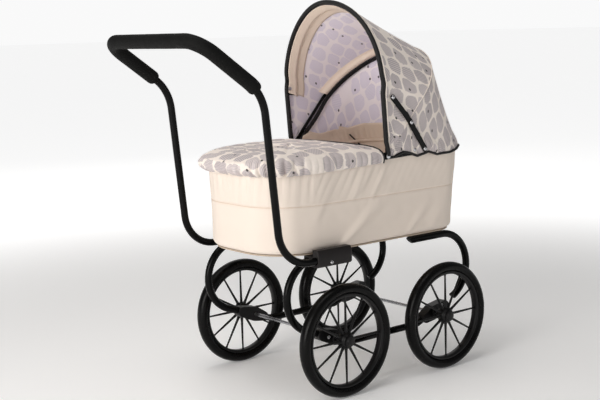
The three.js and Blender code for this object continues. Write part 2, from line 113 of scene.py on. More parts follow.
def paint(red: int, green: int, blue: int) -> tuple[float, float, float, float]:
    """A linear colour with full alpha from the usual 0 to 255 display values."""
    shares = (red / 255, green / 255, blue / 255)
    return (*(s / 12.92 if s <= 0.04045 else ((s + 0.055) / 1.055) ** 2.4 for s in shares), 1.0)


# ---------------------------------------------------------------- shader building

Value = Union[float, "Wire"]


class Wire:
    """An output socket that can be used in sums like a number."""

    def __init__(self, loom: "Loom", socket: bpy.types.NodeSocket) -> None:
        """Keeps the socket and the material it is in."""
        self.loom = loom
        self.socket = socket

    def _sum(self, operation: str, *terms: Value) -> "Wire":
        """A Math node of the given operation on the terms."""
        return self.loom.node("ShaderNodeMath", {"operation": operation}, dict(enumerate(terms)))

    def __add__(self, other: Value) -> "Wire":
        """This plus other."""
        return self._sum("ADD", self, other)

    __radd__ = __add__

    def __mul__(self, other: Value) -> "Wire":
        """This times other."""
        return self._sum("MULTIPLY", self, other)

    __rmul__ = __mul__

    def __sub__(self, other: Value) -> "Wire":
        """This less other."""
        return self._sum("SUBTRACT", self, other)

    def __rsub__(self, other: Value) -> "Wire":
        """Other less this."""
        return self._sum("SUBTRACT", other, self)

    def __gt__(self, other: Value) -> "Wire":
        """1 where this is greater than other."""
        return self._sum("GREATER_THAN", self, other)

    def sine(self) -> "Wire":
        """The sine of this, in radians."""
        return self._sum("SINE", self)


class Loom:
    """A material being put together round one Principled shader."""

    def __init__(self, name: str) -> None:
        """Starts an empty material with its shader and output."""
        self.material = bpy.data.materials.new(name)
        self.material.use_nodes = True
        self.tree = self.material.node_tree
        self.shader = self.tree.nodes["Principled BSDF"]

    def node(self, kind: str, settings: dict, values: dict, output: Union[int, str] = 0) -> Wire:
        """Adds one node.

        Args:
            kind: The node's type.
            settings: Attributes, set first.
            values: Socket name or number to a plain value or a Wire.
            output: Which output to return.

        Returns:
            The chosen output.
        """
        made = self.tree.nodes.new(kind)
        for key, value in settings.items():
            setattr(made, key, value)
        for key, value in values.items():
            if isinstance(value, Wire):
                self.tree.links.new(value.socket, made.inputs[key])
            else:
                made.inputs[key].default_value = value
        return Wire(self, made.outputs[output])

    def mix(self, share: Value, first: Union[tuple, Wire], second: Union[tuple, Wire]) -> Wire:
        """A colour between two, by share."""
        return self.node(
            "ShaderNodeMix", {"data_type": "RGBA"}, {"Factor": share, 6: first, 7: second}, 2)

    def step(self, value: Value, low: float, high: float) -> Wire:
        """A smooth step from 0 at low to 1 at high."""
        return self.node(
            "ShaderNodeMapRange", {"interpolation_type": "SMOOTHSTEP"},
            {"Value": value, "From Min": low, "From Max": high})

    def on_cloth(self) -> Wire:
        """The place on the flat cloth, in metres along and across it."""
        return self.node("ShaderNodeUVMap", {"uv_map": "cloth"}, {})

    def on_piece(self) -> Wire:
        """The place on a hard piece, in metres in the frame."""
        return self.node("ShaderNodeTexCoord", {}, {}, "Object")

    def scaled(self, vector: Wire, by: tuple, plus: Union[tuple, Wire] = (0, 0, 0)) -> Wire:
        """A vector times one vector plus another."""
        return self.node(
            "ShaderNodeVectorMath", {"operation": "MULTIPLY_ADD"}, {0: vector, 1: by, 2: plus})

    def cloud(self, vector: Wire, scale: float, detail: float = 2, output: int = 0) -> Wire:
        """Soft noise from 0 to 1, as a number or as a colour."""
        return self.node(
            "ShaderNodeTexNoise", {}, {"Vector": vector, "Scale": scale, "Detail": detail}, output)

    def cells(self, vector: Wire, loose: float, settings: dict, output: str = "Distance") -> Wire:
        """Rounded cells in a plane, laid out more or less loosely."""
        return self.node(
            "ShaderNodeTexVoronoi", {"voronoi_dimensions": "2D", **settings},
            {"Vector": vector, "Scale": 1.0, "Randomness": loose}, output)

    def parts(self, vector: Wire) -> list[Wire]:
        """The three parts of a vector."""
        first = self.node("ShaderNodeSeparateXYZ", {}, {"Vector": vector})
        return [Wire(self, output) for output in first.socket.node.outputs]

    def weave(self, here: Wire, thread: float) -> Wire:
        """The height of a plain weave from 0 to 1, its threads this many millimetres wide."""
        along, across, _ = self.parts(here)
        turns = math.pi / (thread * MM)
        return (along * turns).sine() * (across * turns).sine() * 0.5 + 0.5

    def raised(self, height: Value, distance: float, strength: float = 1.0) -> None:
        """Bumps the surface by a height."""
        bump = self.node(
            "ShaderNodeBump", {}, {"Height": height, "Distance": distance, "Strength": strength})
        self.tree.links.new(bump.socket, self.shader.inputs["Normal"])

    def finish(self, **inputs: Union[float, tuple, Wire]) -> bpy.types.Material:
        """Sets the shader's inputs, named with underscores for spaces.

        Args:
            inputs: Plain values or wires for the shader's sockets.

        Returns:
            The finished material.
        """
        for key, value in inputs.items():
            socket = self.shader.inputs[key.replace("_", " ")]
            if isinstance(value, Wire):
                self.tree.links.new(value.socket, socket)
            else:
                socket.default_value = value
        return self.material


# ---------------------------------------------------------------- finishes


@dataclass(frozen=True)
class Finish:
    """A named finish whose material is made once."""

    name: str

    def material(self) -> bpy.types.Material:
        """The finish's material, made the first time it is asked for."""
        return bpy.data.materials.get(self.name) or self.made(Loom(self.name))

    def made(self, loom: Loom) -> bpy.types.Material:
        """Builds the material; each kind of finish does this its own way."""
        return loom.material


@dataclass(frozen=True)
class HardFinish(Finish):
    """Paint, moulded plastic, rubber, foam or metal."""

    low: tuple
    high: tuple
    rough: float
    uneven: float
    grain: float
    depth: float
    metal: float = 0.0
    coat: float = 0.0
    shine: float = 0.25

    def made(self, loom: Loom) -> bpy.types.Material:
        """A mottled base with grain in its roughness and surface.

        Args:
            loom: The material being made.

        Returns:
            The finished material.
        """
        here = loom.on_piece()
        cloud = loom.cloud(here, 14, 4)
        grain = loom.cloud(here, self.grain, 3)
        loom.raised(grain, self.depth)
        return loom.finish(
            Base_Color=loom.mix(cloud, self.low, self.high),
            Roughness=self.rough + (cloud - 0.5) * self.uneven + (grain - 0.5) * self.uneven,
            Metallic=self.metal, Coat_Weight=self.coat, Coat_Roughness=0.1,
            Specular_IOR_Level=self.shine)


@dataclass(frozen=True)
class PlainCloth(Finish):
    """A one-colour plain weave."""

    colour: tuple
    shade: tuple
    thread: float = 0.9
    rough: float = 0.82
    sheen: float = 0.12

    def made(self, loom: Loom) -> bpy.types.Material:
        """Threads over and under, with soft uneven dyeing.

        Args:
            loom: The material being made.

        Returns:
            The finished material.
        """
        here = loom.on_cloth()
        threads = loom.weave(here, self.thread)
        cloud = loom.cloud(here, 22, 4)
        loom.raised(threads, 0.00012, 0.5)
        return loom.finish(
            Base_Color=loom.mix(cloud * 0.55 + threads * 0.25, self.colour, self.shade),
            Roughness=self.rough + (threads - 0.5) * 0.1,
            Sheen_Weight=self.sheen, Sheen_Roughness=0.4, Specular_IOR_Level=0.3)


@dataclass(frozen=True)
class PrintedCloth(Finish):
    """A plain weave printed with hatched rounded patches and small dots."""

    ground: tuple
    ground_shade: tuple
    patch: tuple
    patch_shade: tuple
    dot: tuple
    patch_size: tuple = (0.027, 0.034)
    patch_loose: float = 0.42
    patch_edge: tuple = (-0.43, -0.33)
    patch_gaps: float = 0.06
    dot_size: tuple = (0.030, 0.034)
    dot_loose: float = 0.85
    dot_edge: tuple = (0.060, 0.082)
    dot_gaps: float = 0.5
    hatch: float = 0.0028
    thread: float = 0.9

    def made(self, loom: Loom) -> bpy.types.Material:
        """Patches as rounded cells, each hatched its own way, with scattered dots.

        Args:
            loom: The material being made.

        Returns:
            The finished material.
        """
        here = loom.on_cloth()
        bent = loom.scaled(loom.cloud(here, 34, 2, 1), (0.008, 0.008, 0), here)
        bent = loom.scaled(loom.cloud(here, 190, 1, 1), (0.003, 0.003, 0), bent)
        plots = loom.scaled(bent, (1 / self.patch_size[0], 1 / self.patch_size[1], 1))
        edge = loom.cells(plots, self.patch_loose, {"feature": "DISTANCE_TO_EDGE"})
        missing, turn, tone = loom.parts(loom.cells(plots, self.patch_loose, {}, "Color"))
        centre = loom.cells(plots, self.patch_loose, {})
        inside = loom.step(edge - centre, *self.patch_edge) * (missing > self.patch_gaps)
        along, across, _ = loom.parts(here)
        turn = turn * math.pi
        stripe = (along * turn.sine() + across * (turn + math.pi / 2).sine()) * (2 * math.pi / self.hatch)
        tone = loom.step(stripe.sine(), -0.5, 0.6) * 0.55 + loom.cloud(here, 60, 3) * 0.25 + tone * 0.25
        ground = loom.mix(loom.cloud(here, 18, 3), self.ground, self.ground_shade)
        printed = loom.mix(inside, ground, loom.mix(tone, self.patch, self.patch_shade))
        spots = loom.scaled(here, (1 / self.dot_size[0], 1 / self.dot_size[1], 1), (3.37, 8.21, 0))
        reach = loom.cells(spots, self.dot_loose, {})
        kept, _, _ = loom.parts(loom.cells(spots, self.dot_loose, {}, "Color"))
        dots = (1 - loom.step(reach, *self.dot_edge)) * (kept > self.dot_gaps)
        threads = loom.weave(here, self.thread)
        loom.raised(threads, 0.00012, 0.5)
        return loom.finish(
            Base_Color=loom.mix(threads * 0.1, loom.mix(dots, printed, self.dot), self.ground_shade),
            Roughness=0.85 + (threads - 0.5) * 0.1, Sheen_Weight=0.1, Sheen_Roughness=0.4)


@dataclass(frozen=True)
class FloorFinish(Finish):
    """A plain pale studio floor that glows softly away from the pram."""

    colour: tuple
    near_glow: float = 0.13
    far_glow: float = 0.72
    spread: tuple = (0.3, 4.0)

    def made(self, loom: Loom) -> bpy.types.Material:
        """A matt floor with the faintest unevenness and a painted glow, dim near the pram and bright far from
        it.

        Args:
            loom: The material being made.

        Returns:
            The finished material.
        """
        cloud = loom.cloud(loom.on_piece(), 1.5, 2)
        along, across, _ = loom.parts(loom.on_piece())
        # Painted light: the floor's emission glows dimly near the pram and brightly far from it, so the
        # backdrop reads white.
        far = loom.step(along * along + across * across, *self.spread)
        near_light, far_light = ((glow, glow, glow, 1) for glow in (self.near_glow, self.far_glow))
        return loom.finish(
            Base_Color=self.colour, Roughness=0.9 + (cloud - 0.5) * 0.04,
            Emission_Color=loom.mix(far, near_light, far_light), Emission_Strength=1.0)


BLACK_PAINT = HardFinish(
    "gloss_black_paint", paint(4, 4, 4), paint(8, 8, 8), 0.18, 0.08, 900, 0.00002, shine=0.12)
BLACK_PLASTIC = HardFinish(
    "moulded_black_plastic", paint(10, 10, 11), paint(19, 18, 19), 0.36, 0.16, 1400, 0.00006)
GREY_PLASTIC = HardFinish(
    "moulded_dark_grey_plastic", paint(24, 21, 21), paint(36, 32, 32), 0.45, 0.14, 1200, 0.00008)
TYRE = HardFinish("tyre_rubber", paint(5, 5, 5), paint(11, 10, 10), 0.28, 0.14, 700, 0.00004, shine=0.13)
FOAM = HardFinish("grip_foam", paint(5, 5, 5), paint(14, 14, 13), 0.7, 0.1, 420, 0.0006, shine=0.15)
STEEL = HardFinish("satin_steel", paint(176, 176, 180), paint(214, 214, 216), 0.27, 0.2, 1600, 0.00003, 1.0)
BOARD = HardFinish("floor_board", paint(176, 158, 140), paint(200, 186, 168), 0.75, 0.2, 300, 0.0001)
CREAM = PlainCloth("cream_cloth", paint(201, 170, 153), paint(187, 155, 138), rough=0.62, sheen=0.03)
LINING = PlainCloth("beige_lining", paint(230, 210, 192), paint(216, 196, 178))
CASING = PlainCloth("beige_casing", paint(238, 220, 204), paint(226, 207, 190))
PALE = PlainCloth("pale_binding", paint(240, 230, 220), paint(226, 214, 204))
BLACK_CLOTH = PlainCloth("black_binding", paint(15, 14, 15), paint(28, 26, 27), 0.7, 0.6, 0.05)
PRINT = PrintedCloth(
    "printed_cloth", paint(246, 237, 229), paint(240, 229, 219), paint(224, 214, 211),
    paint(160, 151, 156), paint(22, 20, 22))
# The hood's inner face shows the reverse of the print, fainter. Its colours are painted light and shade:
# lightened to stand in for light shining through the cloth into the hood, and tinted lavender as the cloth
# looks in the hood's shade.
PRINT_INSIDE_PAINTED_LIGHT = PrintedCloth(
    "printed_cloth_inside", paint(248, 240, 243), paint(244, 235, 240), paint(238, 230, 240),
    paint(217, 209, 226), paint(62, 54, 66))
FLOOR = FloorFinish("studio_floor", paint(248, 248, 248))


# ---------------------------------------------------------------- shapes


@dataclass
class Shape:
    """Points in the frame and the faces between them."""

    points: list = field(default_factory=list)
    faces: list = field(default_factory=list)

    def __add__(self, other: "Shape") -> "Shape":
        """Both shapes as one."""
        start = len(self.points)
        moved = [tuple(corner + start for corner in face) for face in other.faces]
        return Shape(self.points + other.points, self.faces + moved)


def turned(profile: Sequence, x: float, z: float, side: Side, steps: int = 48) -> Shape:
    """A turned shape whose axis lies across the pram.

    Args:
        profile: Points of radius and distance out from the middle plane, in millimetres.
        x: Place of the axis along the pram.
        z: Height of the axis.
        side: Which side of the pram it is on.
        steps: How many steps go round it.

    Returns:
        The shape.
    """
    rows = len(profile)
    shape = Shape()
    for i in range(steps):
        angle = 2 * math.pi * i / steps
        shape.points += [
            place(x + radius * math.cos(angle), side.value * out, z + radius * math.sin(angle))
            for radius, out in profile]
        for k in range(rows - 1):
            a, b = i * rows + k, (i + 1) % steps * rows + k
            shape.faces.append((a, b, b + 1, a + 1))
    return shape


def swept(path: Sequence[Vector], radius: Union[float, Callable[[float], float]], sides: int = 20,
          closed: bool = False) -> Shape:
    """A round rod along a path.

    Args:
        path: The centre line.
        radius: In millimetres, the same all along or by the share of the way along.
        sides: How many sides the section has.
        closed: Whether the path joins up with itself.

    Returns:
        The shape, closed at its ends.
    """
    count = len(path)
    shape = Shape()
    across = None
    for i, point in enumerate(path):
        before = path[i - 1] if i or closed else path[0]
        after = path[(i + 1) % count] if i < count - 1 or closed else path[-1]
        ahead = (after - before).normalized()
        across = ahead.orthogonal() if across is None else across
        across = (across - ahead * across.dot(ahead)).normalized()
        reach = (radius(i / (count - 1)) if callable(radius) else radius) * MM
        for k in range(sides):
            angle = 2 * math.pi * k / sides
            arm = across * math.cos(angle) + ahead.cross(across) * math.sin(angle)
            shape.points.append(point + arm * reach)
    for i in range(count if closed else count - 1):
        here, there = i * sides, (i + 1) % count * sides
        shape.faces += [
            (here + k, here + (k + 1) % sides, there + (k + 1) % sides, there + k) for k in range(sides)]
    if not closed:
        shape.faces += [tuple(range(sides)), tuple((count - 1) * sides + k for k in range(sides))]
    return shape


def plate(outline: Sequence, inner: float, outer: float, side: Side) -> Shape:
    """A flat plate standing beside the pram.

    Args:
        outline: Its corners as x and z in millimetres.
        inner: Distance of its inner face from the middle plane.
        outer: Distance of its outer face.
        side: Which side it is on.

    Returns:
        The shape.
    """
    count = len(outline)
    points = [place(x, side.value * out, z) for out in (inner, outer) for x, z in outline]
    walls = [(i, (i + 1) % count, count + (i + 1) % count, count + i) for i in range(count)]
    return Shape(points, [tuple(range(count)), tuple(range(count, 2 * count)), *walls])


def stacked(rings: Sequence[Sequence[Vector]]) -> Shape:
    """A solid through rings of points, closed at its first and last ring.

    Args:
        rings: The rings in order, all with as many points.

    Returns:
        The shape.
    """
    count, last = len(rings[0]), len(rings) - 1
    shape = Shape([point for ring in rings for point in ring])
    for row in range(last):
        shape.faces += [
            (row * count + i, row * count + (i + 1) % count, (row + 1) * count + (i + 1) % count,
             (row + 1) * count + i) for i in range(count)]
    shape.faces += [tuple(range(count)), tuple(range(last * count, (last + 1) * count))]
    return shape


def bent_path(corners: Sequence, chord: float = 5.0) -> list[Vector]:
    """A bent tube's centre line.

    Args:
        corners: Corner places in millimetres, with a bend radius as fourth number.
        chord: How many degrees each short chord of a bend turns.

    Returns:
        The points of the centre line.
    """
    path = []
    for i, (*spot, radius) in enumerate(corners):
        corner = Vector(spot)
        if not radius:
            path.append(place(*corner))
            continue
        back = (Vector(corners[i - 1][:3]) - corner).normalized()
        ahead = (Vector(corners[i + 1][:3]) - corner).normalized()
        turn = math.pi - back.angle(ahead)
        centre = corner + (back + ahead).normalized() * radius / math.cos(turn / 2)
        arm = corner + back * radius * math.tan(turn / 2) - centre
        axis = ahead.cross(back).normalized()
        steps = max(3, math.ceil(math.degrees(turn) / chord))
        for k in range(steps + 1):
            path.append(place(*(centre + Matrix.Rotation(turn * k / steps, 3, axis) @ arm)))
    return path


def tight_outline(circles: Sequence, steps: int = 48) -> list[tuple[float, float]]:
    """The outline stretched tight round circles.

    Args:
        circles: Centres and radii as x, z, radius.
        steps: Points sampled on each circle.

    Returns:
        The outline's corners, going round once.
    """
    points = sorted(
        (x + r * math.cos(2 * math.pi * i / steps), z + r * math.sin(2 * math.pi * i / steps))
        for x, z, r in circles for i in range(steps))

    def chain(ordered: Sequence) -> list:
        """One half of the outline."""
        kept = []
        for point in ordered:
            while len(kept) > 1:
                (ax, az), (bx, bz) = kept[-2:]
                if (bx - ax) * (point[1] - az) - (bz - az) * (point[0] - ax) > 1e-9:
                    break
                kept.pop()
            kept.append(point)
        return kept[:-1]

    return chain(points) + chain(points[::-1])


# ---------------------------------------------------------------- making pieces


def cleaned(mesh: bpy.types.Mesh, turn_out: bool) -> None:
    """Merges doubled points and drops collapsed faces, and turns the faces outwards if asked."""
    tidy = bmesh.new()
    tidy.from_mesh(mesh)
    bmesh.ops.remove_doubles(tidy, verts=tidy.verts, dist=1e-6)
    bmesh.ops.dissolve_degenerate(tidy, edges=tidy.edges, dist=1e-7)
    if turn_out:
        bmesh.ops.recalc_face_normals(tidy, faces=tidy.faces)
    tidy.to_mesh(mesh)
    tidy.free()


def make_piece(name: str, shape: Shape, finish: Finish, sharp: float = 35.0, bevel: float = 0.0
               ) -> bpy.types.Object:
    """A smooth-shaded piece from a shape.

    Args:
        name: The piece's name.
        shape: Its points and faces.
        finish: What it is made of.
        sharp: Edges that turn more than this many degrees stay sharp.
        bevel: How far sharp edges are rounded, in millimetres.

    Returns:
        The new object.
    """
    mesh = bpy.data.meshes.new(name)
    mesh.from_pydata([tuple(point) for point in shape.points], [], shape.faces)
    cleaned(mesh, True)
    mesh.shade_smooth()
    mesh.set_sharp_from_angle(angle=math.radians(sharp))
    mesh.materials.append(finish.material())
    if isinstance(finish, (PlainCloth, PrintedCloth)):
        layer = mesh.uv_layers.new(name="cloth")
        for loop in mesh.loops:
            x, y, z = mesh.vertices[loop.vertex_index].co
            layer.data[loop.index].uv = (x + y * 0.7, z + y * 0.3)
    piece = bpy.data.objects.new(name, mesh)
    bpy.context.scene.collection.objects.link(piece)
    if bevel:
        rounding = piece.modifiers.new("rounding", "BEVEL")
        rounding.width = bevel * MM
        rounding.segments = 3
        rounding.limit_method = "ANGLE"
        rounding.angle_limit = math.radians(40)
    return piece


def make_cloth(name: str, points: np.ndarray, flat: np.ndarray, finish: Finish, thick: float,
               out_from: Vector, inside: Finish = None, smooth: int = 1) -> bpy.types.Object:
    """A piece of cloth from a grid of points.

    Args:
        name: The piece's name.
        points: Grid of places in metres, rows by columns by 3.
        flat: Grid of places on the flat cloth in metres, rows by columns by 2.
        finish: What its outer face is.
        thick: Its thickness in millimetres, added inwards.
        out_from: A point that the outer face looks away from.
        inside: What its inner face is, if that is different.
        smooth: Levels of subdivision.

    Returns:
        The new object.
    """
    rows, columns = points.shape[:2]
    quads = [
        [(j, i), (j, i + 1), (j + 1, i + 1), (j + 1, i)]
        for j in range(rows - 1) for i in range(columns - 1)]
    middle = points[:-1, :-1]
    facing = np.cross(points[:-1, 1:] - middle, points[1:, :-1] - middle)
    if (facing * (middle - np.array(out_from))).sum() < 0:
        quads = [quad[::-1] for quad in quads]
    mesh = bpy.data.meshes.new(name)
    spots = [tuple(point) for point in points.reshape(-1, 3)]
    mesh.from_pydata(spots, [], [[j * columns + i for j, i in quad] for quad in quads])
    layer = mesh.uv_layers.new(name="cloth")
    corners = np.array([flat[j, i] for quad in quads for j, i in quad], np.float32)
    layer.data.foreach_set("uv", corners.ravel())
    cleaned(mesh, False)
    mesh.shade_smooth()
    mesh.materials.append(finish.material())
    piece = bpy.data.objects.new(name, mesh)
    bpy.context.scene.collection.objects.link(piece)
    depth = piece.modifiers.new("thickness", "SOLIDIFY")
    depth.thickness = thick * MM
    depth.offset = -1
    if inside:
        mesh.materials.append(inside.material())
        depth.material_offset = 1
    if smooth:
        rounder = piece.modifiers.new("smoothing", "SUBSURF")
        rounder.levels = rounder.render_levels = smooth
    return piece


def dress(piece: bpy.types.Object, body: str, slot: str, *nodes: str) -> bpy.types.Object:
    """Rides a piece on a body, hides the nodes it stands for, and reports it.

    Args:
        piece: The piece.
        body: The body that it moves with.
        slot: Not used.
        nodes: The nodes that it stands for.

    Returns:
        The piece.
    """
    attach(piece, body)
    if nodes:
        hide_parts(*nodes)
    LOG.info("%s on %s", piece.name, body)
    return piece


def lengths(path: np.ndarray) -> np.ndarray:
    """How far along a line of points each point is."""
    return np.concatenate([[0.0], np.cumsum(np.linalg.norm(np.diff(path, axis=0), axis=1))])


def spaced(path: np.ndarray, count: int) -> np.ndarray:
    """A line of points again, evenly spaced."""
    along = lengths(path)
    steps = np.linspace(0, along[-1], count)
    return np.stack([np.interp(steps, along, column) for column in path.T], axis=1)


# ---------------------------------------------------------------- the wheels


@dataclass
class Wheels:
    """Four spoked wheels with rubber tyres, on two steel axles."""

    radius: float = 95.0
    tyre: tuple = (8.5, 10.6)
    base: float = 233.5
    track: float = 290.6
    spokes: int = 12
    spoke: tuple = (2.4, 1.5)
    rim: tuple = (73.6, 76.6, 6.6)
    hub: float = 13.5
    hub_face: float = 9.3
    axle: float = 3.0
    axle_past: float = 8.5

    def build(self) -> None:
        """Builds all four wheels and both axles."""
        for end in End:
            x = end.value * self.base / 2
            reach = self.track / 2 + self.axle_past
            ends = [(0, -reach), (self.axle - 0.6, -reach), (self.axle, 0.6 - reach),
                    (self.axle, reach - 0.6), (self.axle - 0.6, reach), (0, reach)]
            axle = make_piece(f"{end.tag}_wheel_axle", turned(ends, x, self.radius, Side.FAR, 24), STEEL)
            dress(axle, "chassis", "steel", f"{end.tag}_axle")
            for side in Side:
                self.build_wheel(end, side, x)

    def build_wheel(self, end: End, side: Side, x: float) -> None:
        """Builds one wheel.

        Args:
            end: Which end of the pram it is at.
            side: Which side it is on.
            x: The place of its axle.
        """
        tag = f"{end.tag}_{side.tag}"
        body = f"wheel_{tag}"
        plane = self.track / 2
        high, wide = self.tyre
        middle = self.radius - high
        ring = [
            (middle + high * math.cos(a), plane + wide * math.sin(a))
            for a in np.linspace(0, 2 * math.pi, 29)]
        tyre = make_piece(f"rubber_tyre_{tag}", turned(ring, x, self.radius, side, 96), TYRE)
        dress(tyre, body, "tyre", f"tyre_{tag}")
        wheel = self.rim_shape(x, side) + self.hub_shape(x, side)
        for number in range(self.spokes):
            wheel += self.spoke_shape(x, side, 2 * math.pi * number / self.spokes)
        dress(make_piece(f"wheel_spokes_{tag}", wheel, BLACK_PLASTIC), body, "black_plastic",
              f"spoked_wheel_{tag}")
        face = plane + self.hub_face
        cap = [(0, face), (9.4, face), (9.7, face + 0.6), (9.6, face + 1.6), (8.6, face + 2.3),
               (6.4, face + 2.6), (6.0, face + 3.3), (4.0, face + 3.9), (0, face + 4.0)]
        dress(make_piece(f"hub_end_cap_{tag}", turned(cap, x, self.radius, side, 40), BLACK_PLASTIC),
              body, "black_plastic", f"hub_cap_{tag}")

    def rim_shape(self, x: float, side: Side) -> Shape:
        """The rim: a channel whose lips hold the tyre."""
        inner, outer, half = self.rim
        section = [
            (inner, 0), (inner + 0.3, -half + 1.6), (inner + 1.2, -half + 0.2), (outer - 0.2, -half - 0.5),
            (outer + 1.8, -half - 0.3), (outer + 2.0, -half + 0.8), (outer - 0.6, -half + 1.6),
            (outer - 1.0, 0), (outer - 0.6, half - 1.6), (outer + 2.0, half - 0.8),
            (outer + 1.8, half + 0.3), (outer - 0.2, half + 0.5), (inner + 1.2, half - 0.2),
            (inner + 0.3, half - 1.6), (inner, 0)]
        plane = self.track / 2
        return turned([(r, plane + out) for r, out in section], x, self.radius, side, 96)

    def hub_shape(self, x: float, side: Side) -> Shape:
        """The hub barrel, waisted at each end, bored for the axle."""
        bore, hub, plane = self.axle + 0.3, self.hub, self.track / 2
        section = [
            (bore, -14), (8.2, -14), (9, -13.2), (9.6, -9.5), (hub - 1, -7.6), (hub, -6.4), (hub, 5.2),
            (hub - 0.9, 6.6), (11.2, 7.6), (10.6, 9), (bore, 9), (bore, -14)]
        return turned([(r, plane + out) for r, out in section], x, self.radius, side, 40)

    def spoke_shape(self, x: float, side: Side, angle: float) -> Shape:
        """One tapered spoke, flared into the hub and the rim."""
        thick, thin = self.spoke
        start, end = self.hub - 2, self.rim[0] + 1.5
        path = [
            place(x + r * math.cos(angle), side.value * self.track / 2, self.radius + r * math.sin(angle))
            for r in np.linspace(start, end, 13)]
        return swept(
            path, lambda share: thick + (thin - thick) * share + 1.2 * (ease(share, 0.12, 0)
                                                                       + 0.8 * ease(share, 0.92, 1)), 10)


# ---------------------------------------------------------------- the chassis


@dataclass
class Chassis:
    """The bent tubes, the blocks and brackets that join them, and their screws."""

    handle_plane: float = 132.0
    frame_plane: float = 110.8
    frame_top: float = 232.4
    handle_tube: float = 6.25
    frame_tube: float = 6.5
    rail_tube: float = 6.0
    grip: float = 11.5
    bare: tuple = (379.0, 398.0)
    c_radius: float = 61.6
    c_middle: dict = field(default_factory=lambda: {End.REAR: (148.5, 170.8), End.FRONT: (145.5, 170.8)})
    c_turn: float = 161.8
    c_start: dict = field(default_factory=lambda: {End.REAR: 100, End.FRONT: 63})
    c_foot: tuple = (127.5, 98.0)
    c_tip: tuple = (67.0, 3.0, 48.0)
    handle_route: tuple = (
        (-120, 232.4, 0), (-234.4, 232.4, 60), (-260, 506, 72), (-375, 590, 35))
    rail_route: tuple = ((-104, 90, 0), (-78, 79, 34), (78, 79, 34), (104, 90, 0))

    def build(self) -> None:
        """Builds everything that the carrycot and the wheels are fixed to."""
        route = [[(x, side * self.handle_plane, z, bend) for x, z, bend in self.handle_route]
                 for side in (-1, 1)]
        tube = swept(bent_path([*route[0], *route[1][::-1]], 4), self.handle_tube, 24)
        dress(make_piece("handle_bar", tube, BLACK_PAINT), "chassis", "black_paint", "handle_tube")
        self.build_grip(route)
        for side in Side:
            for end in End:
                self.build_c_tube(end, side)
                self.build_bracket(end, side)
            rail = bent_path([(x, side.value * self.frame_plane, z, r) for x, z, r in self.rail_route])
            dress(make_piece(f"lower_side_rail_{side.tag}", swept(rail, self.rail_tube, 22), BLACK_PAINT),
                  "chassis", "black_paint", f"lower_rail_{side.tag}")
            self.build_block(side)

    def build_grip(self, route: list) -> None:
        """The foam grip round the crossbar and both arms, with rounded ends.

        Args:
            route: The handle's corners for the near and the far side.
        """
        path = np.array([tuple(point) for point in bent_path([*route[0], *route[1][::-1]], 4)])
        along = lengths(path) / MM
        steps = np.linspace(self.bare[0], along[-1] - self.bare[1], 170)
        line = np.stack([np.interp(steps, along, column) for column in path.T], axis=1)

        def thick(share: float) -> float:
            """The grip's radius, rounded off at its ends."""
            near_end = min(share, 1 - share) * 170
            return self.grip - 2.2 * (1 - ease(near_end, -0.5, 1.6)) + 0.12 * wander(share * 60)

        grip = swept([Vector(point) for point in line], thick, 28)
        dress(make_piece("foam_hand_grip", grip, FOAM, 60), "chassis", "foam", "handle_grip")

    def build_c_tube(self, end: End, side: Side) -> None:
        """One C tube; the upper end of a front one is cut to a point under the carrycot.

        Args:
            end: Which end of the pram it is at.
            side: Which side it is on.
        """
        y = side.value * self.frame_plane
        cx, cz = self.c_middle[end]
        path = [place(end.value * self.c_start[end], y, self.frame_top)]
        for angle in np.radians(np.linspace(90, 90 - self.c_turn, 36)):
            path.append(place(
                end.value * (cx + self.c_radius * math.cos(angle)), y, cz + self.c_radius * math.sin(angle)))
        path.append(place(end.value * self.c_foot[0], y, self.c_foot[1]))
        tube = make_piece(f"{end.tag}_c_spring_{side.tag}", swept(path, self.frame_tube, 24), BLACK_PAINT)
        if end is End.FRONT:
            cutter = bmesh.new()
            cutter.from_mesh(tube.data)
            tip, below, slope = self.c_tip
            slope = math.radians(slope)
            found = bmesh.ops.bisect_plane(
                cutter, geom=cutter.verts[:] + cutter.edges[:] + cutter.faces[:], dist=1e-7,
                plane_co=place(tip, y, self.frame_top - below),
                plane_no=(-math.sin(slope), 0, -math.cos(slope)), clear_outer=True)
            edges = [item for item in found["geom_cut"] if isinstance(item, bmesh.types.BMEdge)]
            bmesh.ops.holes_fill(cutter, edges=edges)
            cutter.to_mesh(tube.data)
            cutter.free()
        dress(tube, "chassis", "black_paint", f"{end.tag}_c_tube_{side.tag}")

    def build_bracket(self, end: End, side: Side) -> None:
        """The moulded bracket that clamps a C tube, the rail and an axle, and its screws.

        Args:
            end: Which end of the pram it is at.
            side: Which side it is on.
        """
        way = end.value
        rings = [(way * 143, 103, 9.5), (way * 116.75, 95, 13), (way * 97, 87.5, 8.5)]
        inner, outer = self.frame_plane - 9, self.frame_plane + 9
        body = plate(tight_outline(rings), inner, outer, side)
        boss = [(3.4, outer - 1), (8.6, outer - 1), (8.6, outer + 3.4), (7.8, outer + 4.2),
                (3.4, outer + 4.2), (3.4, outer - 1)]
        body += turned(boss, way * 116.75, 95, side, 32)
        name = f"{end.tag}_axle_clamp_{side.tag}"
        dress(make_piece(name, body, BLACK_PLASTIC, bevel=1.3), "chassis", "black_plastic",
              f"{end.tag}_axle_bracket_{side.tag}")
        x, z = (133, 106) if end is End.FRONT else (-132, 98)
        self.build_screw(f"{end.tag}_clamp_screw_{side.tag}", x, z, outer, side,
                         f"{end.tag}_bracket_screw_{side.tag}")

